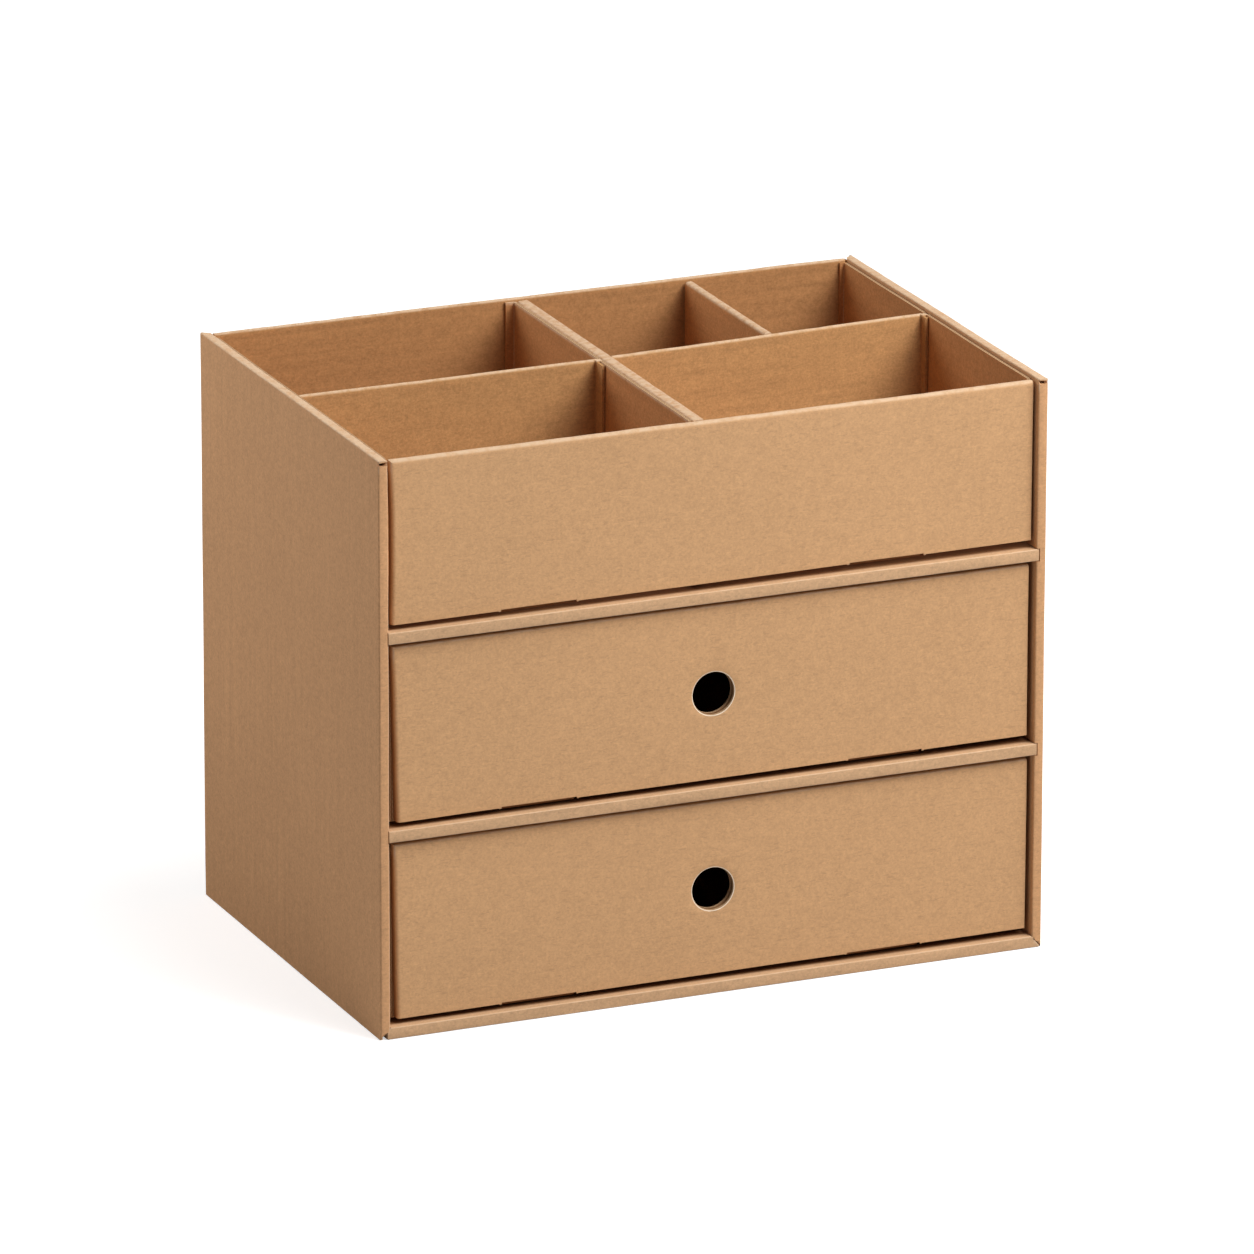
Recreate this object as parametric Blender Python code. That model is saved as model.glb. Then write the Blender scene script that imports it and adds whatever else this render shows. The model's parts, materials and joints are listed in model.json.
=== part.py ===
"""A desk storage box of folded kraft board, in metres, with +Z up and its front facing -Y.

A cabinet with two shelves holds two drawers and, on top, a tray with dividers that lifts out. Its panels are
fine-fluted board. Most are doubled: the sheet rolls over two creases at an edge, comes back down inside and
locks its foot with tabs in slots. The cabinet's back has flaps that slide into the hollow side walls.
"""

import math

import bmesh
import bpy
from mathutils import Vector

# The whole box
WIDTH = 0.330
DEPTH = 0.219
HEIGHT = 0.275

# Board, folds and clearances
BOARD = 0.0013
CREASE_RADIUS = 0.0017
BEND_RADIUS = 0.0004
CREASE_STEPS = 4
TIGHT_RADIUS_SHARE = 0.45
FIT_GAP = 0.0003
TAB_INSET = 0.0001
OVERRUN = 0.003
SMOOTH_ANGLE = math.radians(30)

# Cabinet
WALL_THICKNESS = 0.0047
SHELF_THICKNESS = 0.0057
BAY_HEIGHT = 0.0883
SHELF_TAB_LENGTH = 0.030
SHELF_END_GAP = 0.0008
BACK_DROP = 0.0020
BACK_FLAP_LENGTH = 0.025
CORNER_NOTCH_LENGTH = 0.0044
CORNER_NOTCH_MOUTH = 0.0016
MITRE_FOOT = 0.0006
LEFT_EAR_LENGTH = 0.0013
RIGHT_EAR_LENGTH = 0.0038
REAR_CUT = 0.0045

# Fronts of the drawers and the tray
RECESS = 0.0033
FRONT_THICKNESS = 0.0045
FRONT_TOP_GAP = 0.0021
DRAWER_PLAY = 0.0050
TRAY_FRONT_PLAY = 0.0030
SIT_RIGHT = 0.0003
HOLE_DIAMETER = 0.0205
HOLE_STEPS = 48

# Lock tabs and their slots
TAB_WIDTH = 0.0365
TAB_FROM_MIDDLE = 0.086
SIDE_TAB_FROM_MIDDLE = 0.055
SLOT_LIFT = 0.0016
SLOT_DEPTH = 0.0020

# Drawers behind their fronts
DRAWER_REAR_GAP = 0.0030
DRAWER_SIDE_DROP = 0.0030
BOTTOM_SETBACK = 0.0034

# Tray
TRAY_SIDE_GAP = 0.0008
TRAY_FRONT_DROP = 0.0016
TRAY_SIDE_DROP = 0.0016
TRAY_BACK_DROP = 0.0003
TRAY_REAR_GAP = 0.0003
CORNER_FLAP_LENGTH = 0.0034

# Dividers of the tray
DIVIDER_DROP = 0.0017
MAIN_DIVIDER_THICKNESS = 0.0054
MAIN_DIVIDER_FROM_MIDDLE = 0.0059
LINER_GAP = 0.0005
LINER_FLAP_LENGTH = 0.0048
SHORT_DIVIDER_THICKNESS = 0.0046
SHORT_DIVIDER_SHIFT = 0.0012
SHORT_DIVIDER_REAR_GAP = 0.0016
LEFT_CROSS_FROM_FRONT = 0.1136
RIGHT_CROSS_FROM_FRONT = 0.1152
RIGHT_CROSS_SKEW = math.radians(2.7)
LEFT_END_FLAP_LENGTH = 0.0080
RIGHT_END_FLAP_LENGTH = 0.0046
END_FLAP_RISE = 0.0040
LIP_REACH = 0.0018
END_NOTCH = 0.0015

# Places that follow from the sizes above
FRONT_Y = -DEPTH / 2
BACK_Y = DEPTH / 2
BAY_HALF = WIDTH / 2 - WALL_THICKNESS
DOUBLE_BOARD = 2 * BOARD + FIT_GAP
TIGHT_RADIUS = DOUBLE_BOARD * TIGHT_RADIUS_SHARE
LOWER_SHELF_Z = SHELF_THICKNESS + BAY_HEIGHT
UPPER_SHELF_Z = LOWER_SHELF_Z + SHELF_THICKNESS + BAY_HEIGHT
TRAY_BAY_Z = UPPER_SHELF_Z + SHELF_THICKNESS
BACK_FACE_Y = BACK_Y - BOARD
PANEL_REAR_Y = BACK_FACE_Y - FIT_GAP
FACE_Y = FRONT_Y + RECESS
FACE_REAR_Y = FACE_Y + FRONT_THICKNESS
TRAY_HALF = BAY_HALF - TRAY_SIDE_GAP
TRAY_BACK_Y = BACK_FACE_Y - TRAY_REAR_GAP - DOUBLE_BOARD
TRAY_FLOOR_Z = TRAY_BAY_Z + FIT_GAP + BOARD
DIVIDER_TOP_Z = HEIGHT - DIVIDER_DROP
DIVIDER_FOOT_Z = TRAY_FLOOR_Z + FIT_GAP

# The axis that each side of a panel is square to, and the sides that lie at the high end of their axis
AXIS_OF_SIDE = {"left": "x", "right": "x", "front": "y", "back": "y", "bottom": "z", "top": "z"}
HIGH_SIDES = ("right", "back", "top")

# Colours of the board, as they look on screen
OUTER_KRAFT = (0.75, 0.59, 0.43)
FRONT_KRAFT = (0.78, 0.62, 0.46)
SHELF_KRAFT = (0.79, 0.64, 0.49)
INNER_KRAFT = (0.68, 0.50, 0.34)
KRAFT_ROUGHNESS = 0.85


def clear_scene():
    """Takes every object out of the scene."""
    for old in list(bpy.data.objects):
        bpy.data.objects.remove(old, do_unlink=True)


def scene_value(level):
    """A colour level as it looks on screen, turned into the linear value that a shader takes."""
    return ((level + 0.055) / 1.055) ** 2.4


def kraft(name, colour):
    """The uncoated board of one piece."""
    material = bpy.data.materials.new(name + "_board")
    material.use_nodes = True
    shader = material.node_tree.nodes["Principled BSDF"]
    shader.inputs["Base Color"].default_value = (*map(scene_value, colour), 1)
    shader.inputs["Roughness"].default_value = KRAFT_ROUGHNESS
    shader.inputs["Metallic"].default_value = 0
    return material


def space(x, y, z):
    """A box as its low and high corners, from its span along each axis, given in either order."""
    spans = [sorted(pair) for pair in (x, y, z)]
    return Vector([pair[0] for pair in spans]), Vector([pair[1] for pair in spans])


def add_box(shape, low, high):
    """Adds a closed box to a bmesh."""
    made = bmesh.ops.create_cube(shape, size=1)["verts"]
    for vertex in made:
        share = vertex.co + Vector((0.5, 0.5, 0.5))
        vertex.co = low + Vector(share[axis] * (high[axis] - low[axis]) for axis in range(3))


def boxes(*spaces):
    """One shape that holds separate closed boxes."""
    shape = bmesh.new()
    for low, high in spaces:
        add_box(shape, low, high)
    return shape


def prism(outline, axis, start, end):
    """An outline, drawn in the other two axes in order, extruded along one axis."""
    shape = bmesh.new()
    others = [other for other in range(3) if other != axis]
    ring = []
    for across, up in outline:
        point = [0, 0, 0]
        point[others[0]] = across
        point[others[1]] = up
        point[axis] = start
        ring.append(shape.verts.new(point))
    made = bmesh.ops.extrude_face_region(shape, geom=[shape.faces.new(ring)])["geom"]
    run = Vector([end - start if other == axis else 0 for other in range(3)])
    moved = [part for part in made if isinstance(part, bmesh.types.BMVert)]
    bmesh.ops.translate(shape, vec=run, verts=moved)
    bmesh.ops.recalc_face_normals(shape, faces=shape.faces)
    return shape


def circle(centre_x, centre_z, radius, steps):
    """The outline of a round hole."""
    turns = [2 * math.pi * step / steps for step in range(steps)]
    return [(centre_x + radius * math.cos(turn), centre_z + radius * math.sin(turn)) for turn in turns]


def bent_outline(path, thickness, bend_radius):
    """The outline of a sheet whose middle follows straight runs with a round bend at each corner."""
    middle = bend_radius + thickness / 2
    corners = [Vector(point) for point in path]
    runs = [(after - before).normalized() for before, after in zip(corners, corners[1:])]
    left, right = [], []
    for index, corner in enumerate(corners):
        if index in (0, len(corners) - 1):
            run = runs[min(index, len(runs) - 1)]
            across = Vector((-run.y, run.x)) * thickness / 2
            left.append(corner + across)
            right.append(corner - across)
            continue
        before, after = runs[index - 1], runs[index]
        turn = math.atan2(before.x * after.y - before.y * after.x, before.dot(after))
        hand = math.copysign(1, turn)
        across = Vector((-before.y, before.x)) * hand
        centre = corner - before * middle * math.tan(abs(turn) / 2) + across * middle
        for step in range(CREASE_STEPS + 1):
            angle = turn * step / CREASE_STEPS
            spoke = -across
            ray = Vector((
                spoke.x * math.cos(angle) - spoke.y * math.sin(angle),
                spoke.x * math.sin(angle) + spoke.y * math.cos(angle),
            ))
            left.append(centre + ray * (middle - hand * thickness / 2))
            right.append(centre + ray * (middle + hand * thickness / 2))
    return [tuple(point) for point in left + right[::-1]]


def rest_place(piece):
    """Where a piece's origin is in the whole box, from its own place and those of what carries it."""
    place = piece.location.copy()
    while piece.parent:
        piece = piece.parent
        place += piece.location
    return place


def add_object(name, shape, place, carrier=None):
    """Makes an object from a shape drawn in the whole box's frame, with its origin at a place in it."""
    bmesh.ops.translate(shape, vec=-place, verts=shape.verts)
    mesh = bpy.data.meshes.new(name)
    shape.to_mesh(mesh)
    shape.free()
    made = bpy.data.objects.new(name, mesh)
    bpy.context.scene.collection.objects.link(made)
    made.parent = carrier
    made.location = place - (rest_place(carrier) if carrier else Vector())
    return made


def add_piece(name, shape, place, colour, carrier):
    """Makes a piece of the box, with its board's colour and smooth creases."""
    piece = add_object(name, shape, place, carrier)
    piece.data.materials.append(kraft(name, colour))
    piece.data.shade_smooth()
    piece.data.set_sharp_from_angle(angle=SMOOTH_ANGLE)
    return piece


def combine(piece, label, shape, operation):
    """Joins a closed shape to a piece, or takes it out, with a Boolean that stays on the piece."""
    tool = add_object(piece.name + "_" + label, shape, rest_place(piece), piece)
    tool.hide_render = True
    tool.display_type = "WIRE"
    boolean = piece.modifiers.new(label, "BOOLEAN")
    boolean.operation = operation
    boolean.solver = "EXACT"
    boolean.object = tool


def cut(piece, label, shape):
    combine(piece, label, shape, "DIFFERENCE")


def join(piece, label, shape):
    combine(piece, label, shape, "UNION")


def at_side(vertex, side, low, high):
    """Whether a vertex lies on one side of its box."""
    corner = high if side in HIGH_SIDES else low
    axis = AXIS_OF_SIDE[side]
    return getattr(vertex.co, axis) == getattr(corner, axis)


def middle_of_foot(low, high):
    """The middle of a box's underside, where its piece has its origin."""
    return Vector(((low.x + high.x) / 2, (low.y + high.y) / 2, low.z))


def sheet(name, where, colour, carrier=None):
    """A flat piece of single board."""
    return add_piece(name, boxes(where), middle_of_foot(*where), colour, carrier)


def bent_sheet(name, path, foot_z, top_z, colour, carrier=None):
    """An upright piece of single board that follows a path in plan, with its origin at the path's start."""
    shape = prism(bent_outline(path, BOARD, BEND_RADIUS), 2, foot_z, top_z)
    return add_piece(name, shape, Vector((*path[0], foot_z)), colour, carrier)


def folded_case(name, where, creases, open_sides, colour, carrier=None, radius=CREASE_RADIUS):
    """A panel of board that is folded back over itself: a case rounded at its creases, whose hollow between
    the sheets runs out through its open sides. A crease is named by the two sides that meet in it."""
    low, high = where
    shape = boxes(where)
    rolled = [edge for edge in shape.edges if any(
        all(at_side(vertex, side, low, high) for vertex in edge.verts for side in crease.split())
        for crease in creases
    )]
    bmesh.ops.bevel(shape, geom=rolled, offset=radius, segments=CREASE_STEPS, profile=0.5, affect="EDGES")
    piece = add_piece(name, shape, middle_of_foot(low, high), colour, carrier)
    inner_low, inner_high = low.copy(), high.copy()
    for side, axis in AXIS_OF_SIDE.items():
        outwards = OVERRUN if side in open_sides else -BOARD
        if side in HIGH_SIDES:
            setattr(inner_high, axis, getattr(inner_high, axis) + outwards)
        else:
            setattr(inner_low, axis, getattr(inner_low, axis) - outwards)
    cut(piece, "hollow", boxes((inner_low, inner_high)))
    return piece


def grown(where, margin, axes):
    """A box made larger all round along some of its axes."""
    low, high = where[0].copy(), where[1].copy()
    for axis in axes:
        low[axis] -= margin
        high[axis] += margin
    return low, high


def foot_tabs(where, foot_z, along, inner_side, from_middle):
    """The two lock tabs below the inner sheet of a doubled panel, as boxes that reach up into that sheet."""
    low, high = where
    across = 1 - along
    middle = (low[along] + high[along]) / 2
    tabs = []
    for hand in (-1, 1):
        tab_low, tab_high = low.copy(), high.copy()
        centre = middle + hand * from_middle
        tab_low[along] = centre - TAB_WIDTH / 2
        tab_high[along] = centre + TAB_WIDTH / 2
        if inner_side > 0:
            tab_low[across] = high[across] - BOARD + TAB_INSET
            tab_high[across] = high[across] - TAB_INSET
        else:
            tab_low[across] = low[across] + TAB_INSET
            tab_high[across] = low[across] + BOARD - TAB_INSET
        tab_low.z = foot_z
        tab_high.z = low.z + BOARD / 2
        tabs.append((tab_low, tab_high))
    return tabs


def cut_slots(bottom, label, tabs):
    """Opens a bottom sheet for the lock tabs that pass through it."""
    cut(bottom, label, boxes(*(grown(grown(tab, FIT_GAP, (0, 1)), OVERRUN, (2,)) for tab in tabs)))


def cut_mitre(wall, inner, outer, hand):
    """Cuts the lower end of a side wall's front strip on the diagonal, where the base's strip comes in."""
    past_inner = inner - hand * OVERRUN
    past_outer = outer + hand * OVERRUN
    outline = [
        (past_inner, SHELF_THICKNESS),
        (inner, SHELF_THICKNESS),
        (outer, MITRE_FOOT),
        (past_outer, MITRE_FOOT),
        (past_outer, -OVERRUN),
        (past_inner, -OVERRUN),
    ]
    cut(wall, "mitre", prism(outline, 1, FRONT_Y - OVERRUN, FRONT_Y + BOARD))


def cut_corner_notch(wall, outer, hand):
    """Opens the small wedge between the top strip and the cut end of the front strip."""
    strip_z = HEIGHT - BOARD
    past_outer = outer + hand * OVERRUN
    outline = [
        (outer - hand * CORNER_NOTCH_LENGTH, strip_z),
        (past_outer, strip_z),
        (past_outer, strip_z - CORNER_NOTCH_MOUTH),
        (outer, strip_z - CORNER_NOTCH_MOUTH),
    ]
    cut(wall, "corner_notch", prism(outline, 1, FRONT_Y - OVERRUN, FRONT_Y + CREASE_RADIUS))


def cut_rear_end(wall, inner, outer, hand):
    """Cuts the top strip's rear end on the slant, and ends the inner sheet short of the back panel."""
    past_inner = inner - hand * OVERRUN
    land = outer - hand * BOARD
    outline = [
        (past_inner, BACK_Y - REAR_CUT),
        (inner, BACK_Y - REAR_CUT),
        (land, BACK_Y),
        (land, BACK_Y + OVERRUN),
        (past_inner, BACK_Y + OVERRUN),
    ]
    cut(wall, "rear_slant", prism(outline, 2, HEIGHT - CREASE_RADIUS, HEIGHT + OVERRUN))
    mid_hollow = (inner + outer) / 2
    back_passage = space(
        (past_inner, mid_hollow),
        (BACK_FACE_Y - FIT_GAP, BACK_Y + OVERRUN),
        (-OVERRUN, HEIGHT - BACK_DROP + FIT_GAP),
    )
    cut(wall, "back_passage", boxes(back_passage))


def shelf_tab_runs():
    """Where a shelf's front and rear end tabs run, from front to back."""
    return (
        (FRONT_Y, FRONT_Y + SHELF_TAB_LENGTH),
        (PANEL_REAR_Y - 2 * SHELF_TAB_LENGTH, PANEL_REAR_Y - SHELF_TAB_LENGTH),
    )


def side_wall(name, hand):
    """A hollow side wall, folded over at its top and its front. hand is -1 on the left and 1 on the right."""
    outer = hand * WIDTH / 2
    inner = hand * BAY_HALF
    where = space((outer, inner), (FRONT_Y, BACK_Y), (0, HEIGHT))
    creases = ("top left", "top right", "front left", "front right")
    wall = folded_case(name, where, creases, ("bottom", "back"), OUTER_KRAFT)
    cut_corner_notch(wall, outer, hand)
    cut_mitre(wall, inner, outer, hand)
    cut_rear_end(wall, inner, outer, hand)
    notch_x = (inner - hand * OVERRUN, inner + hand * (BOARD + SHELF_END_GAP))
    for shelf_label, shelf_z in (("lower", LOWER_SHELF_Z), ("upper", UPPER_SHELF_Z)):
        notch_z = (shelf_z - FIT_GAP, shelf_z + SHELF_THICKNESS + FIT_GAP)
        for end_label, (start, end), open_front in zip(("front", "rear"), shelf_tab_runs(), (True, False)):
            notch_y = (start - (OVERRUN if open_front else FIT_GAP), end + FIT_GAP)
            cut(wall, f"{shelf_label}_{end_label}_notch", boxes(space(notch_x, notch_y, notch_z)))
    return wall


def shelf(name, foot_z):
    """A doubled shelf, rolled at its front edge, with end tabs in notches of the walls' inner sheets."""
    reach = BAY_HALF + BOARD
    where = space((-reach, reach), (FRONT_Y, PANEL_REAR_Y), (foot_z, foot_z + SHELF_THICKNESS))
    panel = folded_case(name, where, ("front top", "front bottom"), ("left", "right", "back"), SHELF_KRAFT)
    (_, front_end), (rear_start, rear_end) = shelf_tab_runs()
    trim_z = (foot_z - OVERRUN, foot_z + SHELF_THICKNESS + OVERRUN)
    for label, hand in (("left", -1), ("right", 1)):
        trim_x = (hand * (BAY_HALF - FIT_GAP), hand * (reach + OVERRUN))
        cut(panel, label + "_end", boxes(
            space(trim_x, (front_end, rear_start), trim_z),
            space(trim_x, (rear_end, PANEL_REAR_Y + OVERRUN), trim_z),
        ))
    return panel


def base_panel():
    """The doubled base, rolled at its front edge, whose front strip has ears under the walls' mitres."""
    left_end = -BAY_HALF - LEFT_EAR_LENGTH
    right_end = BAY_HALF + RIGHT_EAR_LENGTH
    where = space((left_end, right_end), (FRONT_Y, PANEL_REAR_Y), (0, SHELF_THICKNESS))
    base = folded_case(
        "base_panel", where, ("front top", "front bottom"), ("left", "right", "back"), SHELF_KRAFT
    )
    slope = (SHELF_THICKNESS - MITRE_FOOT) / WALL_THICKNESS
    for label, hand, end in (("left", -1, left_end), ("right", 1, right_end)):
        inner = hand * (BAY_HALF - FIT_GAP)
        past_end = end + hand * OVERRUN
        ear_back = (FRONT_Y + BOARD - FIT_GAP, PANEL_REAR_Y + OVERRUN)
        trim_z = (-OVERRUN, SHELF_THICKNESS + OVERRUN)
        cut(base, label + "_end", boxes(space((inner, past_end), ear_back, trim_z)))
        end_z = SHELF_THICKNESS - slope * abs(past_end - inner)
        outline = [
            (inner, SHELF_THICKNESS + OVERRUN),
            (inner, SHELF_THICKNESS - FIT_GAP),
            (past_end, end_z - FIT_GAP),
            (past_end, SHELF_THICKNESS + OVERRUN),
        ]
        cut(base, label + "_mitre", prism(outline, 1, FRONT_Y - OVERRUN, FRONT_Y + SHELF_THICKNESS))
    return base


def back_panel():
    """The back, a single sheet whose side flaps turn forward into the hollow side walls."""
    flap_x = WIDTH / 2 - BOARD - FIT_GAP - BOARD / 2
    middle_y = BACK_Y - BOARD / 2
    flap_y = BACK_Y - BACK_FLAP_LENGTH
    path = [(-flap_x, flap_y), (-flap_x, middle_y), (flap_x, middle_y), (flap_x, flap_y)]
    return bent_sheet("back_panel", path, 0, HEIGHT - BACK_DROP, OUTER_KRAFT)


def rolled_front(name, half_width, foot_z, top_z, tab_z, carrier):
    """A doubled front that is rolled over at its top and its sides and locked with two tabs at its foot."""
    where = space(
        (SIT_RIGHT - half_width, SIT_RIGHT + half_width), (FACE_Y, FACE_REAR_Y), (foot_z, top_z)
    )
    creases = ("top front", "top back", "front left", "front right")
    front = folded_case(name, where, creases, (), FRONT_KRAFT, carrier)
    tabs = foot_tabs(where, tab_z, 0, 1, TAB_FROM_MIDDLE)
    join(front, "lock_tabs", boxes(*tabs))
    slots = [space(
        (low.x - FIT_GAP, high.x + FIT_GAP),
        (FACE_Y - OVERRUN, FACE_Y + SLOT_DEPTH),
        (foot_z - OVERRUN, foot_z + SLOT_LIFT),
    ) for low, high in tabs]
    cut(front, "tab_slots", boxes(*slots))
    return front, tabs


def doubled_panel(name, where, ends, creases, along, inner_side, from_middle, tab_z, colour, carrier):
    """An upright doubled panel, rolled at its top, with two lock tabs under its inner sheet."""
    panel = folded_case(name, where, creases, ("bottom", *ends), colour, carrier, TIGHT_RADIUS)
    tabs = foot_tabs(where, tab_z, along, inner_side, from_middle)
    join(panel, "lock_tabs", boxes(*tabs))
    return tabs


def drawer(label, bay_z):
    """A drawer that rests on the panel under its bay and slides out to the front."""
    foot_z = bay_z + FIT_GAP
    floor_z = foot_z + BOARD
    wall_z = floor_z + FIT_GAP
    top_z = bay_z + BAY_HEIGHT - FRONT_TOP_GAP
    side_top_z = top_z - DRAWER_SIDE_DROP
    half = BAY_HALF - DRAWER_PLAY / 2
    rear_y = BACK_FACE_Y - DRAWER_REAR_GAP
    left_x = SIT_RIGHT - half
    right_x = SIT_RIGHT + half
    carrier = bpy.data.objects.new(label + "_drawer_slide", None)
    carrier.location = (SIT_RIGHT, FACE_Y, (wall_z + top_z) / 2)
    bpy.context.scene.collection.objects.link(carrier)

    front, front_tabs = rolled_front(label + "_drawer_front", half, wall_z, top_z, foot_z, carrier)
    hole = circle(SIT_RIGHT, (wall_z + top_z) / 2, HOLE_DIAMETER / 2, HOLE_STEPS)
    cut(front, "finger_hole", prism(hole, 1, FACE_Y - OVERRUN, FACE_REAR_Y + OVERRUN))

    bottom = sheet(
        label + "_drawer_bottom",
        space((left_x, right_x), (FACE_Y + BOTTOM_SETBACK, rear_y), (foot_z, floor_z)),
        INNER_KRAFT,
        carrier,
    )
    cut_slots(bottom, "front_slots", front_tabs)

    side_y = (FACE_REAR_Y + FIT_GAP, rear_y)
    side_z = (wall_z, side_top_z)
    for side, outer_x, hand in (("left", left_x, -1), ("right", right_x, 1)):
        tabs = doubled_panel(
            f"{label}_drawer_{side}_side",
            space((outer_x, outer_x - hand * DOUBLE_BOARD), side_y, side_z),
            ("front", "back"), ("top left", "top right"),
            1, -hand, SIDE_TAB_FROM_MIDDLE, foot_z, INNER_KRAFT, carrier,
        )
        cut_slots(bottom, side + "_slots", tabs)

    back_x = (left_x + DOUBLE_BOARD + FIT_GAP, right_x - DOUBLE_BOARD - FIT_GAP)
    tabs = doubled_panel(
        label + "_drawer_back",
        space(back_x, (rear_y - DOUBLE_BOARD, rear_y), side_z),
        ("left", "right"), ("top front", "top back"),
        0, -1, TAB_FROM_MIDDLE, foot_z, INNER_KRAFT, carrier,
    )
    cut_slots(bottom, "back_slots", tabs)


def tray_shell(carrier):
    """The tray's front, bottom, sides and back. Returns the right side sheet."""
    foot_z = TRAY_BAY_Z + FIT_GAP
    half = BAY_HALF - TRAY_FRONT_PLAY / 2
    top_z = HEIGHT - TRAY_FRONT_DROP
    _, front_tabs = rolled_front("tray_front", half, DIVIDER_FOOT_Z, top_z, foot_z, carrier)
    back_y = TRAY_BACK_Y + DOUBLE_BOARD
    bottom = sheet(
        "tray_bottom",
        space((-TRAY_HALF, TRAY_HALF), (FACE_Y + BOTTOM_SETBACK, back_y), (foot_z, TRAY_FLOOR_Z)),
        INNER_KRAFT,
        carrier,
    )
    cut_slots(bottom, "front_slots", front_tabs)
    back_tabs = doubled_panel(
        "tray_back",
        space((-TRAY_HALF, TRAY_HALF), (TRAY_BACK_Y, back_y), (DIVIDER_FOOT_Z, HEIGHT - TRAY_BACK_DROP)),
        ("left", "right"), ("top front", "top back"),
        0, -1, TAB_FROM_MIDDLE, foot_z, INNER_KRAFT, carrier,
    )
    cut_slots(bottom, "back_slots", back_tabs)
    sides = []
    for side, hand in (("left", -1), ("right", 1)):
        middle_x = hand * (TRAY_HALF - BOARD / 2)
        flap_y = TRAY_BACK_Y - FIT_GAP - BOARD / 2
        path = [
            (middle_x, FACE_REAR_Y + FIT_GAP),
            (middle_x, flap_y),
            (hand * (TRAY_HALF - CORNER_FLAP_LENGTH), flap_y),
        ]
        sides.append(bent_sheet(
            f"tray_{side}_side", path, DIVIDER_FOOT_Z, HEIGHT - TRAY_SIDE_DROP, INNER_KRAFT, carrier
        ))
    return sides[1]


def cross_divider(name, left_limit, right_limit, middle_y, skew, flap_length, lip_length, carrier):
    """A tight doubled divider between two sheets. A flap at its right end turns forward along the sheet
    there, and a lip over that sheet's top hangs the end up. Returns the place for the lip's notch."""
    half = DOUBLE_BOARD / 2
    lean = math.sin(skew)
    left_x = left_limit + FIT_GAP + half * lean
    flap_reach = half + flap_length
    lip_front = half + LIP_REACH
    length = (right_limit - FIT_GAP - left_x - flap_reach * lean) / math.cos(skew)
    right_x = left_x + length
    span_y = (middle_y - half, middle_y + half)
    where = space((left_x, right_x - FIT_GAP), span_y, (DIVIDER_FOOT_Z, DIVIDER_TOP_Z))
    low, high = where
    creases = ("top front", "top back")
    divider = folded_case(
        name, where, creases, ("bottom", "left", "right"), INNER_KRAFT, carrier, TIGHT_RADIUS
    )
    lip_foot_z = DIVIDER_TOP_Z - BOARD
    flap = space(
        (right_x - BOARD, right_x),
        (middle_y - flap_reach, middle_y),
        (DIVIDER_FOOT_Z + END_FLAP_RISE, lip_foot_z + BOARD / 2),
    )
    lip = space(
        (right_x - BOARD - TAB_INSET, right_x + lip_length),
        (middle_y - lip_front, middle_y - TAB_INSET),
        (lip_foot_z, DIVIDER_TOP_Z - TAB_INSET),
    )
    join(divider, "end_flap", boxes(flap))
    join(divider, "lip", boxes(lip))
    notch_z = DIVIDER_TOP_Z - TIGHT_RADIUS - END_NOTCH
    cut(divider, "end_notch", boxes(space(
        (left_x - OVERRUN, left_x + END_NOTCH),
        (middle_y - half - OVERRUN, middle_y + half + OVERRUN),
        (notch_z - END_NOTCH, notch_z),
    )))
    turn_about_left_end(divider, left_x, middle_y, skew)
    end_y = middle_y + length * math.sin(skew)
    side_step = lip_length * lean
    lip_y = (end_y - lip_front, end_y + side_step)
    return grown(space((right_limit - OVERRUN, right_limit + lip_length + OVERRUN), lip_y,
                       (lip_foot_z, HEIGHT + OVERRUN)), FIT_GAP, (1, 2))


def turn_about_left_end(divider, left_x, middle_y, skew):
    """Turns a divider in plan about the foot of its left end."""
    place = rest_place(divider)
    arm = Vector((place.x - left_x, place.y - middle_y, 0))
    turned = Vector((
        arm.x * math.cos(skew) - arm.y * math.sin(skew),
        arm.x * math.sin(skew) + arm.y * math.cos(skew),
        0,
    ))
    divider.location += turned - arm
    divider.rotation_euler.z = skew


def long_divider(name, middle_x, thickness, start_y, rear_gap, carrier):
    """A divider that runs back to the tray's back, rolled over two creases at its top."""
    where = space(
        (middle_x - thickness / 2, middle_x + thickness / 2),
        (start_y, TRAY_BACK_Y - rear_gap),
        (DIVIDER_FOOT_Z, DIVIDER_TOP_Z),
    )
    creases = ("top left", "top right")
    return folded_case(name, where, creases, ("bottom", "front", "back"), INNER_KRAFT, carrier)


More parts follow.
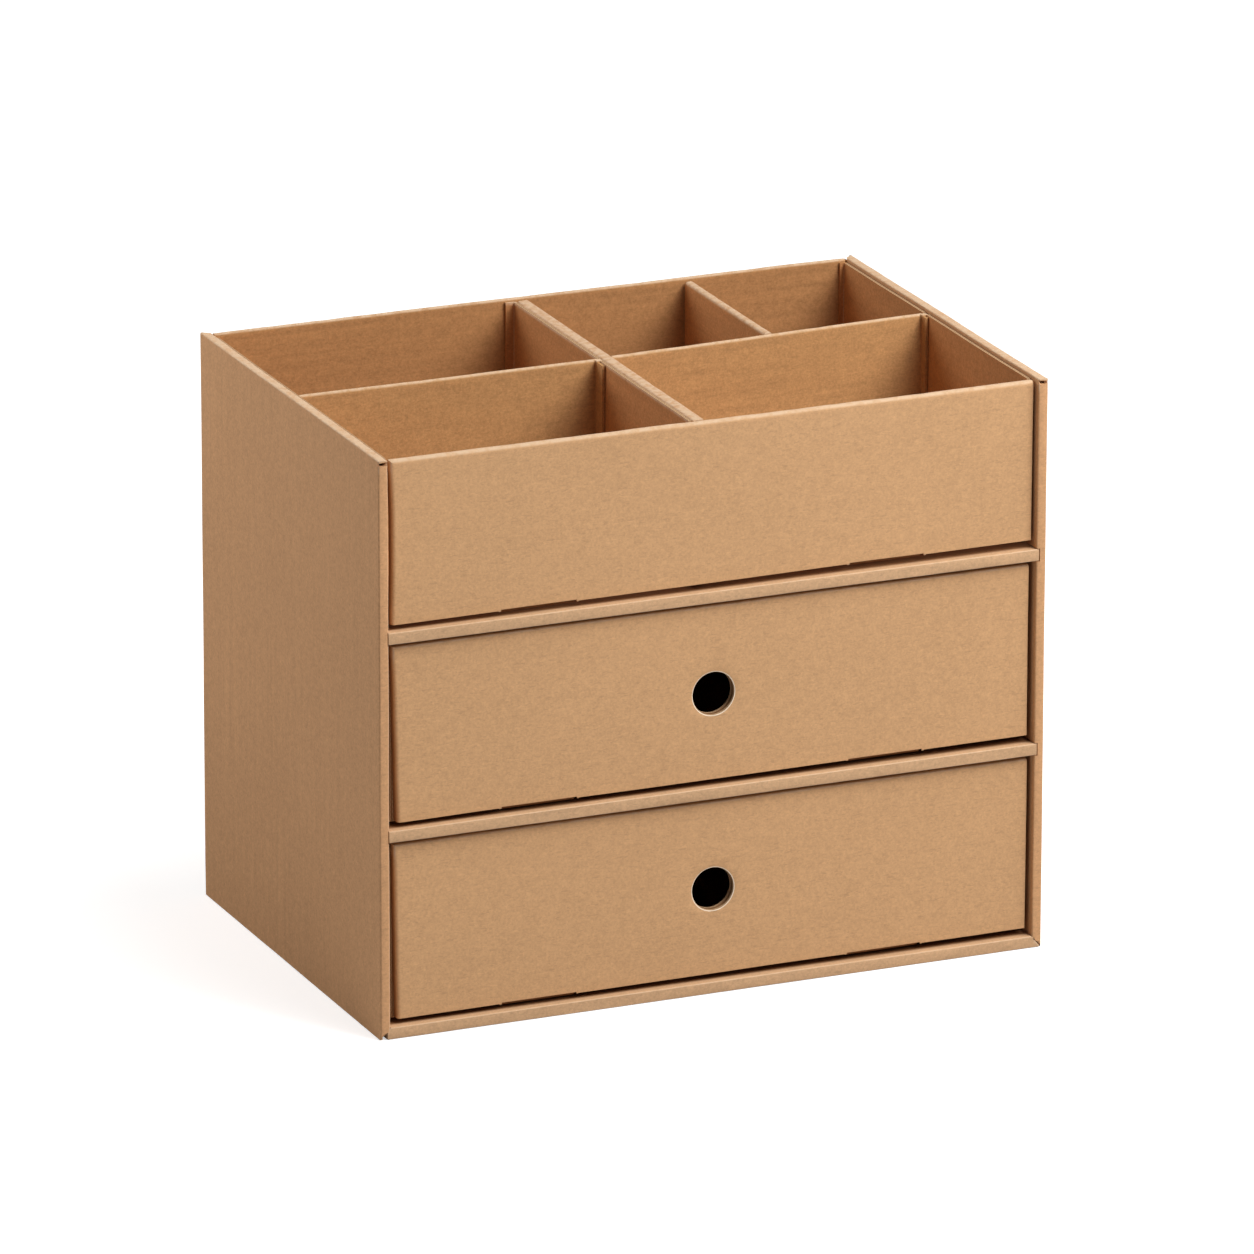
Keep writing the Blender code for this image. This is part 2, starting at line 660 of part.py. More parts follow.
def dividers(carrier, right_side):
    """The tray's dividers: one from front to back with its liner, one across on each side and a short one."""
    divider_start_y = FACE_REAR_Y + FIT_GAP
    main_x = -MAIN_DIVIDER_FROM_MIDDLE
    main_left = main_x - MAIN_DIVIDER_THICKNESS / 2
    main_right = main_x + MAIN_DIVIDER_THICKNESS / 2
    long_divider("main_divider", main_x, MAIN_DIVIDER_THICKNESS, divider_start_y, FIT_GAP, carrier)

    liner_x = main_left - LINER_GAP - BOARD / 2
    liner_left = liner_x - BOARD / 2
    flap_y = TRAY_BACK_Y - FIT_GAP - BOARD / 2
    liner_path = [(liner_x, divider_start_y), (liner_x, flap_y), (liner_x - LINER_FLAP_LENGTH, flap_y)]
    liner = bent_sheet("divider_liner", liner_path, DIVIDER_FOOT_Z, DIVIDER_TOP_Z, INNER_KRAFT, carrier)

    tray_inner = TRAY_HALF - BOARD
    lip_notch = cross_divider(
        "left_cross_divider", -tray_inner, liner_left, FRONT_Y + LEFT_CROSS_FROM_FRONT, 0,
        LEFT_END_FLAP_LENGTH, FIT_GAP + BOARD, carrier,
    )
    cut(liner, "lip_notch", boxes(lip_notch))
    right_start = FRONT_Y + RIGHT_CROSS_FROM_FRONT
    lip_notch = cross_divider(
        "right_cross_divider", main_right, tray_inner, right_start, RIGHT_CROSS_SKEW,
        RIGHT_END_FLAP_LENGTH, FIT_GAP + BOARD, carrier,
    )
    cut(right_side, "lip_notch", boxes(lip_notch))

    short_x = (main_right + tray_inner) / 2 + SHORT_DIVIDER_SHIFT
    run = short_x + SHORT_DIVIDER_THICKNESS / 2 - main_right
    cross_half = DOUBLE_BOARD / 2 / math.cos(RIGHT_CROSS_SKEW)
    cross_rear = right_start + run * math.tan(RIGHT_CROSS_SKEW) + cross_half
    long_divider(
        "short_divider", short_x, SHORT_DIVIDER_THICKNESS, cross_rear + FIT_GAP, SHORT_DIVIDER_REAR_GAP,
        carrier,
    )


def tray():
    """The tray that lifts straight up out of the cabinet."""
    carrier = bpy.data.objects.new("tray_lift", None)
    carrier.location = (0, 0, TRAY_BAY_Z + FIT_GAP)
    bpy.context.scene.collection.objects.link(carrier)
    dividers(carrier, tray_shell(carrier))


def main():
    clear_scene()
    side_wall("left_side_wall", -1)
    side_wall("right_side_wall", 1)
    base_panel()
    back_panel()
    shelf("lower_shelf", LOWER_SHELF_Z)
    shelf("upper_shelf", UPPER_SHELF_Z)
    drawer("lower", SHELF_THICKNESS)
    drawer("upper", LOWER_SHELF_Z + SHELF_THICKNESS)
    tray()


main()
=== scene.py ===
"""Looks of the desk storage box: folded fine-fluted kraft board on a plain white stage."""

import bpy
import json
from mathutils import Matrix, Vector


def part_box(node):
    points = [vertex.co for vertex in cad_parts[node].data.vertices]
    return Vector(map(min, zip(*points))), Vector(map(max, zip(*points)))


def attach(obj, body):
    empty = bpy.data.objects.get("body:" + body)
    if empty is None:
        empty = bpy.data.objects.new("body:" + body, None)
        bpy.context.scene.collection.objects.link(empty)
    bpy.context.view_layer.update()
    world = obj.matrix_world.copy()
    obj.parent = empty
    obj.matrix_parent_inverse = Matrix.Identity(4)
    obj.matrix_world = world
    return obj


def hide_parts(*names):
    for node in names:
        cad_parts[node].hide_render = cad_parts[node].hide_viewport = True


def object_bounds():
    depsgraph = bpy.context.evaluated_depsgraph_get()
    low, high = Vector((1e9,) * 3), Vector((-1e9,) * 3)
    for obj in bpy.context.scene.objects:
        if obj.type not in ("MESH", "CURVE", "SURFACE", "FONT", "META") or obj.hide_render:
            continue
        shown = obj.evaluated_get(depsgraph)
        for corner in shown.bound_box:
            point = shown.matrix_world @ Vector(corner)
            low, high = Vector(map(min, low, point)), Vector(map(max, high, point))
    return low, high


bl_info = {
    "name": "Desk storage box",
    "version": (1, 0, 0),
    "blender": (4, 5, 0),
    "location": "3D View > Sidebar > Storage Box",
    "description": "Dresses the packed storage box as folded kraft board and sets it on a white stage",
    "category": "Object",
}

import json
import math

import bmesh
import bpy
from bpy.props import FloatProperty, FloatVectorProperty, PointerProperty
from mathutils import Matrix, Vector, noise

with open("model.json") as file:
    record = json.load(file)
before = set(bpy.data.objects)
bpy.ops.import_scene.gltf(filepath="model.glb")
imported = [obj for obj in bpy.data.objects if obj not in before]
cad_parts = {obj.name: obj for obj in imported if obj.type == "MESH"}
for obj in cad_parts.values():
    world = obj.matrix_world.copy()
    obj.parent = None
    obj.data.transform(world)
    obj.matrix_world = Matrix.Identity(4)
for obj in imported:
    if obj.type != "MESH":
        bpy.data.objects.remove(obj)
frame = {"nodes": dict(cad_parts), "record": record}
CAD_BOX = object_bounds()
BOX_TOP = CAD_BOX[1][2]

AXES = {"x": 0, "y": 1, "z": 2}
BODY_OF = {
    node: body
    for body, nodes in frame["record"]["behaviour"]["bodies"].items()
    for node in nodes
}
STILL = Vector((0.0, 0.0, 0.0))
SAME_PLACE = 1e-6


# Places in the part that its frame's boxes don't give by themselves

FACE_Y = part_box("tray_front")[0].y
BAY_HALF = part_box("right_side_wall")[0].x
NOTCH_HALF = 0.1624

# Lock tabs of the fronts
FOOT_LIFT = 0.0016
SLOT_LIFT = 0.0016
TAB_WIDTH = 0.0365
TAB_FROM_MIDDLE = 0.086

# Creases, each as the two sides of a panel that meet in it: an axis, and whether its high side
CREASE_RADIUS = 0.0017
FRONT_SIDE = (AXES["y"], False)
TOP_SIDE = (AXES["z"], True)
WALL_CREASES = tuple(
    ((AXES["x"], at_high), side) for at_high in (False, True) for side in (TOP_SIDE, FRONT_SIDE))
SHELF_CREASES = tuple((FRONT_SIDE, (AXES["z"], at_high)) for at_high in (False, True))

# How near a point has to be to one of the part's lines, or to the plane of a front's face, to count as on it
ON_LINE = 0.0001
ON_FACE = 1e-5


# Painted shade: a dark brown on the hidden sides of walls, shelves and fronts, in the gaps behind the fronts'
# faces

# Where it comes in behind the fronts' faces, as a start and a length
FRONT_SHADE_BAND = (0.0010, 0.0014)
SHELF_SHADE_BAND = (0.0, 0.0015)
WALL_SHADE_BAND = (0.0005, 0.0015)

# Where a front is bare of it below its top, and where its ends and foot show it whole
FRONT_TOP = 0.0045
FRONT_END = 0.0020
FRONT_FOOT = 0.0010

# How much of it shows on a front's back and on a wall, and how far and where it fades on a shelf
FRONT_BACK_SHARE = 0.45
WALL_SHADE_SHARE = 0.6
SHELF_FADE = 0.55
FADE_START = 0.0120
FADE_LENGTH = 0.0100


# How finely the panels are cut, so that they can wave

# Distance from one cut to the next along x, y and z, with none through the sheet
WALL_CELLS = (None, 0.0055, 0.0055)
SHELF_CELLS = (0.0045, 0.0120, None)
BACK_CELLS = (0.0080, None, 0.0080)
FRONT_CELLS = (0.0045, None, 0.0065)
BOTTOM_CELLS = (0.0160, 0.0160, None)
DRAWER_SIDE_CELLS = (None, 0.0080, 0.0080)
TRAY_LONG_CELLS = (None, 0.0050, 0.0080)
TRAY_CROSS_CELLS = (0.0050, None, 0.0080)

# Cuts beside the folds, measured from a panel's ends, and how near to the last an even cut may come
FOLD_CUTS = (0.0021, 0.0040, 0.0070)
CUT_MARGIN = 0.25

# Cuts behind the fronts' faces, where the painted shade on walls and shelves comes in and fades
SEAM_CUTS = tuple(FACE_Y + behind for behind in (0.0, sum(WALL_SHADE_BAND), FADE_START, FADE_START + FADE_LENGTH))

# Faces this flat to each other are joined before the cuts, and edges this sharp are shaded as edges
FLAT_ANGLE = math.radians(0.4)
SHARP_ANGLE = math.radians(32.0)


# How the board waves, wears and gets painted highlight and sheen

# Seed of the sheets' waves, which would otherwise differ from run to run
WAVE_SEED = 4

# Shares of the sheets' waves along x, y and z that a lying panel keeps, so that it stays on its rests
SHELF_CALM = (1.0, 1.0, 0.4)
BOTTOM_CALM = (1.0, 1.0, 0.3)

# The quick waves and small dents: how many times shorter than the slow or large ones, and their share
QUICK_WAVES = (3.0, 0.35)
SMALL_DENTS = (2.6, 0.5)

# How the rubbed look of the folds and their painted highlight follow from the slant of the faces at a point,
# and how deep the narrow top strip of painted sheen lies
FOLD_AND_HIGHLIGHT_GAIN = 1.3
FOLD_AND_HIGHLIGHT_START = 0.04
TOP_SHEEN_STRIP = 0.0002

# A side wall's top, where it is rubbed whole with painted sheen and gets no painted shade
WALL_TOP = 0.0050

# How loose each front hangs: how far its left and its right end stand in, from its top down to its foot,
# and how far its foot rises at its left and at its right end
LOOSE_FRONTS = {
    "lower_drawer_front": ((0.0005, 0.0009, 0.0014, 0.0019), (0.0000, 0.0002), (0.0007, 0.0015)),
    "upper_drawer_front": ((0.0002, 0.0009, 0.0017, 0.0024), (0.0002, 0.0003), (0.0007, 0.0017)),
    "tray_front": ((0.0006, 0.0014, 0.0014, 0.0009), (0.0001, 0.0003), (0.0006, 0.0019)),
}
END_REACH = 0.0450
FOOT_REACH = 0.0300
SLOT_DROP = 0.0010
FRONT_SHEET = 0.0021

# A side wall's open corner at its front, measured down from its top and outwards from the bay, with the
# moves that make the wedge there a lens, and the slits beside the shelves' ends
WALL_SHEET = 0.0018
WEDGE_FOOT = 0.0031
WEDGE_TOP = 0.00135
STRIP_EDGE = 0.0012
WEDGE_DEPTH = 0.0047
LENS_FOOT = (-0.0009, -0.0004, 0.0006)
LENS_TOP = (0.0006, 0.0006, 0.0002)
SLITS_BELOW = 0.0200
LEFT_SLIT_SHIFT = 0.0015
RIGHT_SLIT_SHIFT = -0.0004

# A shelf's front strip: how deep it is, how wide its ends are, and how far each is moved
STRIP_DEPTH = 0.0060
STRIP_END = 0.0025
LEFT_END_SHIFT = 0.0012
RIGHT_END_SHIFT = -0.0001

# Small paper nibs at the ends of the fronts' slots, stretched along x and flattened along y
NIB_RADIUS = 0.0006
NIB_STRETCH = Vector((1.3, 0.7, 1.0))
NIB_BESIDE_SLOT = 0.0008
NIB_BEHIND_FACE = 0.0005
NIB_BELOW_FOOT = 0.0001

# The finger hole's rim: how its edge is found and rounded, and how far from the hole's middle and how deep
# behind the face the pale rim and the painted shade in the hole reach
HOLE_FROM_SIDES = 0.0200
HOLE_EDGE_ANGLE = 1.2
RIM_ROUNDING = 0.00055
RIM_REACH = 0.0118
RIM_DEPTH = 0.0006
RIM_FACING = 0.1
HOLE_REACH = 0.0115
HOLE_SHADE_DEPTH = 0.0007

# The strip of a bottom sheet that is cut off behind a front
FRONT_STRIP = 0.0080

# The rubbed top of a front, with its painted highlight: where it starts below the top, and the length over
# which it comes in
TOP_RUBBED_AND_HIGHLIT = (0.0100, 0.0060)


# Settings

class BOX_PG_board(bpy.types.PropertyGroup):
    """Sizes of the board's surface"""

    thickness: FloatProperty(
        name="Board thickness", description="One sheet of fine-fluted board",
        default=0.0013, unit="LENGTH")
    flute_pitch: FloatProperty(
        name="Flute pitch", description="Distance from one flute to the next",
        default=0.0024, unit="LENGTH")
    warp: FloatProperty(
        name="Warp", description="How far a sheet waves out of its plane",
        default=0.00022, unit="LENGTH")
    warp_length: FloatProperty(
        name="Warp length", description="Length of the waves of a sheet",
        default=0.075, unit="LENGTH")
    dent: FloatProperty(
        name="Fold dents", description="Depth of the small dents along a fold",
        default=0.00030, unit="LENGTH")
    dent_length: FloatProperty(
        name="Dent length", description="Length of the dents along a fold",
        default=0.011, unit="LENGTH")


class BOX_PG_colours(bpy.types.PropertyGroup):
    """Colours of the kraft paper"""

    outer: FloatVectorProperty(
        name="Outer board", description="Walls and back",
        subtype="COLOR", size=3, min=0, max=1, default=(0.620, 0.337, 0.165))
    front: FloatVectorProperty(
        name="Front board", description="Drawer fronts and tray front",
        subtype="COLOR", size=3, min=0, max=1, default=(0.609, 0.352, 0.175))
    shelf: FloatVectorProperty(
        name="Shelf board", description="Base and shelves",
        subtype="COLOR", size=3, min=0, max=1, default=(0.600, 0.370, 0.205))
    inner: FloatVectorProperty(
        name="Inner board", description="Tray, long dividers and drawer boxes",
        subtype="COLOR", size=3, min=0, max=1, default=(0.517, 0.237, 0.089))
    # Painted light: a paler copy of the inner board, for the better-lit cross dividers
    cross: FloatVectorProperty(
        name="Cross board", description="Cross dividers",
        subtype="COLOR", size=3, min=0, max=1, default=(0.533, 0.283, 0.114))
    # Painted shade: a darker copy of the inner board, for the tray's back
    tray_back: FloatVectorProperty(
        name="Tray back board", description="Back of the tray",
        subtype="COLOR", size=3, min=0, max=1, default=(0.471, 0.234, 0.092))
    # Partly the paler stretched paper of rubbed folds, partly a painted highlight and sheen on the folds and
    # top strips
    fold: FloatVectorProperty(
        name="Worn fold", description="Stretched paper along a fold",
        subtype="COLOR", size=3, min=0, max=1, default=(0.720, 0.520, 0.345))
    # Painted shade: dark brown for the hidden sides in the gaps behind the fronts' faces and in the finger
    # holes
    inside: FloatVectorProperty(
        name="Inner liner", description="Browner liner on the hidden sides of the fronts, shelves and walls",
        subtype="COLOR", size=3, min=0, max=1, default=(0.240, 0.102, 0.038))
    rim: FloatVectorProperty(
        name="Hole rim", description="Torn pale paper round a finger hole",
        subtype="COLOR", size=3, min=0, max=1, default=(0.880, 0.730, 0.560))
    liner_edge: FloatVectorProperty(
        name="Cut paper", description="The two papers in a cut edge",
        subtype="COLOR", size=3, min=0, max=1, default=(0.560, 0.360, 0.200))
    hollow: FloatVectorProperty(
        name="Flute hollows", description="The dark hollows in a cut edge",
        subtype="COLOR", size=3, min=0, max=1, default=(0.340, 0.180, 0.085))


class BOX_PG_stage(bpy.types.PropertyGroup):
    """Camera, lamps and floor"""

    lens: FloatProperty(
        name="Lens", description="Focal length of the camera",
        default=349.1, unit="CAMERA")
    camera_place: FloatVectorProperty(
        name="Camera place", description="Where the camera stands",
        subtype="TRANSLATION", unit="LENGTH", size=3, default=(-2.105, -4.918, 1.883))
    yaw: FloatProperty(
        name="Yaw", description="Turn of the camera towards the right",
        default=math.radians(23.2), unit="ROTATION")
    pitch: FloatProperty(
        name="Pitch", description="How far the camera looks down",
        default=math.radians(18.01), unit="ROTATION")
    roll: FloatProperty(
        name="Roll", description="Lean of the camera",
        default=math.radians(0.10), unit="ROTATION")
    sky: FloatProperty(
        name="Sky light", description="Strength of the light from all round",
        default=0.18)
    high_lamp: FloatProperty(
        name="High lamp", description="Strength of the soft even lamp from high on the right",
        default=1.43)
    left_lamp: FloatProperty(
        name="Left lamp", description="Power of the weak soft box that stands near the rear left corner",
        default=4.13)
    near_lamp: FloatProperty(
        name="Near lamp", description="Power of the soft box that stands near the top right corner",
        default=10.6)
    floor_grey: FloatProperty(
        name="Floor", description="Paleness of the floor that lights the box from below",
        default=0.50)
    floor_seen_grey: FloatProperty(
        name="Floor as seen", description="Paleness of the floor behind and under the box in the picture",
        default=0.85)
    floor_lift: FloatProperty(
        name="Floor lift", description="Light added so that the bare floor shows white",
        default=0.57)
    floor_size: FloatProperty(
        name="Floor size", description="Length of the floor's sides",
        default=24.0, unit="LENGTH")


# Materials

# Noise patterns of the board: scale, detail and roughness
CLOUDS = (11.0, 3.0, 0.50)
MOTTLE = (230.0, 3.0, 0.60)
GRAIN = (900.0, 3.0, 0.65)
FLUTE_STREAKS = (330.0, 2.0, 0.55)
STREAK_PATCHES = (22.0, 2.0, 0.50)
RUBBED_PATCHES = (260.0, 4.0, 0.65)
ALONG_FLUTES = 0.02

# Tone of the paper: shares of clouds, mottle and grain, and its darkest and palest stops and shades
TONE_SHARES = (0.20, 0.33, 0.75)
TONE_STOPS = (0.18, 0.82)
TONE_SHADES = (0.78, 1.22)

# Where the patchy streaks come in, and their weakest and strongest share
PATCH_SPAN = (0.35, 0.65, 0.3, 1.0)

# Curly fibres in the paper: the turn and drift of each set, their form, and how they show
HAIR_SETS = ((0.35, 0.0), (1.45, 3.7), (2.5, 8.1))
HAIR_TURNS = (1.0, 0.8, 1.3)
HAIR_STRETCH = (0.22, 1.0, 1.0)
HAIR_SCALE = 1150.0
HAIR_CURL = 0.9
PALE_HAIR_SPAN = (0.66, 0.74)
DARK_HAIR_SPAN = (0.34, 0.27)
PALE_HAIR_SHARE, PALE_HAIR_SHADE = 0.30, 1.28
DARK_HAIR_SHARE, DARK_HAIR_SHADE = 0.34, 0.66

# Painted shade in the gaps, and rubbed folds with a painted highlight and sheen: how much of their colours
# shows
PAINTED_SHADE_SHARE = 0.9
RUB_SPAN = (0.32, 0.60, 0.45, 1.0)
RUBBED_AND_HIGHLIT_SPAN = (0.10, 0.80, 0.0, 0.85)

# Section of the board in a cut edge, in shares of its thickness, and how dark its hollows are
CORE_SWING = 0.32
CORE_SPAN = (0.08, 0.18, 1.0, 0.0)
LINER_SPAN = (0.26, 0.33)
PAPER_IN_HOLLOW = 0.20

# Relief and sheen of the surface
GRAIN_RELIEF = 0.6
MOTTLE_RELIEF = 0.5
STREAK_RELIEF = 1.2
HAIR_RELIEF = 0.12
FOLD_RELIEF = 0.7
CUT_RELIEF = 1.5
BUMP_STRENGTH = 0.45
BUMP_DEPTH = 0.00020
ROUGH_SPAN = (0.3, 0.7, 0.93, 0.80)
SHEEN = 0.20

HALF = 0.5
WHITE = (1.0, 1.0, 1.0, 1.0)


class Nodes:
    """A short way to write the nodes of one material."""

    def __init__(self, tree):
        self.tree = tree

    def add(self, kind, settings=None, **inputs):
        """Adds one node with its settings and inputs. An underscore stands for a space in an input's name."""
        node = self.tree.nodes.new(kind)
        for name, value in (settings or {}).items():
            setattr(node, name, value)
        for name, value in inputs.items():
            self.put(node, name.replace("_", " "), value)
        return node

    def put(self, node, name, value):
        """Links or sets one input of a node, named or numbered."""
        socket = node.inputs[int(name)] if name.isdigit() else node.inputs[name]
        if isinstance(value, bpy.types.NodeSocket):
            self.tree.links.new(value, socket)
        else:
            socket.default_value = value

    def math(self, operation, first, second=0.0, third=0.0, clamp=False):
        """One step of arithmetic on up to three values."""
        node = self.add("ShaderNodeMath", {"operation": operation, "use_clamp": clamp})
        for index, value in enumerate((first, second, third)):
            self.put(node, str(index), value)
        return node.outputs[0]

    def span(self, value, low, high, to_low=0.0, to_high=1.0):
        """Leads a value smoothly from one span to another."""
        node = self.add("ShaderNodeMapRange", {"interpolation_type": "SMOOTHSTEP"},
                        Value=value, From_Min=low, From_Max=high, To_Min=to_low, To_Max=to_high)
        return node.outputs[0]

    def distance(self, first, second):
        """How far two values are apart."""
        return self.math("ABSOLUTE", self.math("SUBTRACT", first, second))

    def place(self, scale, location=(0.0, 0.0, 0.0), rotation=(0.0, 0.0, 0.0)):
        """The object's own coordinates, scaled, moved and turned."""
        coordinates = self.add("ShaderNodeTexCoord").outputs["Object"]
        mapping = self.add("ShaderNodeMapping", Vector=coordinates)
        mapping.inputs["Location"].default_value = location
        mapping.inputs["Rotation"].default_value = rotation
        mapping.inputs["Scale"].default_value = scale
        return mapping.outputs[0]

    def grain(self, scale, detail, roughness, stretch=(1.0, 1.0, 1.0)):
        """A noise pattern fixed to the piece."""
        node = self.add("ShaderNodeTexNoise", Vector=self.place(stretch), Scale=scale, Detail=detail,
                        Roughness=roughness)
        return node.outputs["Fac"]

    def hairs(self, turn, drift):
        """Short curly fibres, which lie one way in the paper."""
        rotation = [turn * share for share in HAIR_TURNS]
        place = self.place(HAIR_STRETCH, (drift, drift, drift), rotation)
        node = self.add("ShaderNodeTexNoise", Vector=place, Scale=HAIR_SCALE, Detail=1.0, Roughness=0.5,
                        Distortion=HAIR_CURL)
        return node.outputs["Fac"]

    def blend(self, amount, first, second):
        """Mixes two colours, which are sockets or plain colours."""
        node = self.tree.nodes.new("ShaderNodeMix")
        node.data_type = "RGBA"
        self.put(node, "0", amount)
        for index, value in ((6, first), (7, second)):
            if isinstance(value, bpy.types.NodeSocket):
                self.tree.links.new(value, node.inputs[index])
            else:
                node.inputs[index].default_value = (*value, 1.0)
        return node.outputs[2]

    def attribute(self, name):
        """A value that the mesh carries at its points or faces."""
        return self.add("ShaderNodeAttribute", {"attribute_name": name}).outputs["Fac"]

    def seen_apart(self, lit, seen):
        """Mixes two shaders: one that lights the scene, and one that the camera sees in its place."""
        path = self.add("ShaderNodeLightPath")
        mixed = self.add("ShaderNodeMixShader", Fac=path.outputs["Is Camera Ray"])
        self.put(mixed, "1", lit)
        self.put(mixed, "2", seen)
        return mixed.outputs[0]


def shade(colour, share):
    """A colour made darker or paler."""
    return tuple(min(1.0, channel * share) for channel in colour)


def paper_colour(nodes, colour, patterns, flute_marks, streaks, contrast):
    """The paper's colour, with its clouds, mottle and grain and the faint streaks of the flutes."""
    level = HALF
    for pattern, share in zip(patterns, TONE_SHARES):
        off = nodes.math("SUBTRACT", pattern, HALF)
        level = nodes.math("MULTIPLY_ADD", off, share * contrast, level)
    level = nodes.math("MULTIPLY_ADD", flute_marks, streaks, level)
    ramp = nodes.add("ShaderNodeValToRGB", Fac=level)
    stops = ramp.color_ramp.elements
    for index in range(2):
        stops[index].position = TONE_STOPS[index]
        stops[index].color = (*shade(colour, TONE_SHADES[index]), 1.0)
    stops.new(HALF).color = (*colour, 1.0)
    return ramp.outputs["Color"]


def hair_marks(nodes):
    """Where the pale and where the dark fibres lie."""
    pale, dark = 0.0, 0.0
    for turn, drift in HAIR_SETS:
        hairs = nodes.hairs(turn, drift)
        pale = nodes.math("MAXIMUM", nodes.span(hairs, *PALE_HAIR_SPAN), pale)
        dark = nodes.math("MAXIMUM", nodes.span(hairs, *DARK_HAIR_SPAN), dark)
    return pale, dark


def cut_section(nodes, flute_pitch):
    """Where a cut edge shows paper: its two liners, and the core that waves between them."""
    turn = nodes.math("MULTIPLY", nodes.attribute("along"), 2.0 * math.pi / flute_pitch)
    depth = nodes.attribute("across")
    core_depth = nodes.math("MULTIPLY_ADD", nodes.math("SINE", turn), CORE_SWING, HALF)
    core = nodes.span(nodes.distance(depth, core_depth), *CORE_SPAN)
    liners = nodes.span(nodes.distance(depth, HALF), *LINER_SPAN)
    return nodes.math("MAXIMUM", core, liners)


def kraft_paper(name, colour, flutes, streaks, contrast):
    """Fine-fluted kraft board: grain, hair-like fibres, faint flute streaks, pale folds that are partly
    rubbed and partly a painted highlight, painted shade in the gaps, and cut edges.

    Pieces that ask for the same name share the material that the first of them makes.
    """
    material = bpy.data.materials.get(name)
    if material:
        return material
    colours = bpy.context.scene.kraft
    material = bpy.data.materials.new(name)
    material.use_nodes = True
    material.node_tree.nodes.clear()
    nodes = Nodes(material.node_tree)

    clouds, mottle, grain = (nodes.grain(*pattern) for pattern in (CLOUDS, MOTTLE, GRAIN))
    stretch = tuple(ALONG_FLUTES if index == AXES[flutes] else 1.0 for index in range(3))
    streak = nodes.math("SUBTRACT", nodes.grain(*FLUTE_STREAKS, stretch=stretch), HALF)
    patches = nodes.span(nodes.grain(*STREAK_PATCHES), *PATCH_SPAN)
    flute_marks = nodes.math("MULTIPLY", streak, patches)
    paper = paper_colour(nodes, colour, (clouds, mottle, grain), flute_marks, streaks, contrast)

    pale_hairs, dark_hairs = hair_marks(nodes)
    pale_share = nodes.math("MULTIPLY", pale_hairs, PALE_HAIR_SHARE)
    dark_share = nodes.math("MULTIPLY", dark_hairs, DARK_HAIR_SHARE)
    paper = nodes.blend(pale_share, paper, shade(colour, PALE_HAIR_SHADE))
    paper = nodes.blend(dark_share, paper, shade(colour, DARK_HAIR_SHADE))

    # Painted shade: dark brown in the gaps behind the fronts' faces and in the finger holes
    inside = nodes.math("MULTIPLY", nodes.attribute("inside"), PAINTED_SHADE_SHARE)
    paper = nodes.blend(inside, paper, colours.inside)
    # Rubbed folds, partly real and partly a painted highlight and sheen on the folds and top strips
    fold = nodes.attribute("fold")
    rub = nodes.span(nodes.grain(*RUBBED_PATCHES), *RUB_SPAN)
    worn_and_highlit = nodes.math("MULTIPLY", nodes.span(fold, *RUBBED_AND_HIGHLIT_SPAN), rub, clamp=True)
    paper = nodes.blend(worn_and_highlit, paper, colours.fold)
    paper = nodes.blend(nodes.attribute("rim"), paper, colours.rim)

    raw = nodes.attribute("raw")
    section = cut_section(nodes, bpy.context.scene.board.flute_pitch)
    section_share = nodes.math("MULTIPLY_ADD", section, 1.0 - PAPER_IN_HOLLOW, PAPER_IN_HOLLOW)
    cut = nodes.blend(section_share, colours.hollow, colours.liner_edge)
    paper = nodes.blend(raw, paper, cut)

    height = nodes.math("MULTIPLY", mottle, MOTTLE_RELIEF)
    height = nodes.math("MULTIPLY_ADD", grain, GRAIN_RELIEF, height)
    height = nodes.math("MULTIPLY_ADD", flute_marks, streaks * STREAK_RELIEF, height)
    height = nodes.math("MULTIPLY_ADD", pale_hairs, HAIR_RELIEF, height)
    height = nodes.math("MULTIPLY_ADD", rub, nodes.math("MULTIPLY", fold, FOLD_RELIEF), height)
    height = nodes.math("MULTIPLY_ADD", section, nodes.math("MULTIPLY", raw, CUT_RELIEF), height)
    bump = nodes.add("ShaderNodeBump", Strength=BUMP_STRENGTH, Distance=BUMP_DEPTH, Height=height)
    surface = nodes.add("ShaderNodeBsdfPrincipled", Base_Color=paper, Normal=bump.outputs[0],
                        Roughness=nodes.span(grain, *ROUGH_SPAN))
    surface.inputs["Specular IOR Level"].default_value = SHEEN
    nodes.add("ShaderNodeOutputMaterial", Surface=surface.outputs[0])
    return material


# Meshes

def rising(value, start, length):
    """0 up to the start, even along the length, and 1 beyond it."""
    return max(0.0, min(1.0, (value - start) / length))


def eased(values, share):
    """A value between those of a list of even steps, where share is 0 at the first and 1 at the last."""
    place = max(0.0, min(1.0, share)) * (len(values) - 1)
    step = min(len(values) - 2, int(place))
    part = place - step
    return values[step] + (values[step + 1] - values[step]) * part * part * (3.0 - 2.0 * part)


def unit(axis):
    """The direction of one axis."""
    return Vector([1.0 if index == axis else 0.0 for index in range(3)])


def cut_grid(bm, axis, places):
    """Cuts the mesh by planes square to one axis, so that it can wave there."""
    normal = unit(axis)
    for place in places:
        bmesh.ops.bisect_plane(
            bm, geom=bm.verts[:] + bm.edges[:] + bm.faces[:], dist=SAME_PLACE,
            plane_co=normal * place, plane_no=normal)


def grid_places(low, high, step):
    """Where to cut one length of a panel: evenly, and closer together beside the folds at its ends."""
    count = max(1, round((high - low) / step))
    places = [low + (high - low) * index / count for index in range(1, count)]
    margin = FOLD_CUTS[-1] + step * CUT_MARGIN
    places = [place for place in places if place - low > margin and high - place > margin]
    return places + [low + cut for cut in FOLD_CUTS] + [high - cut for cut in FOLD_CUTS]


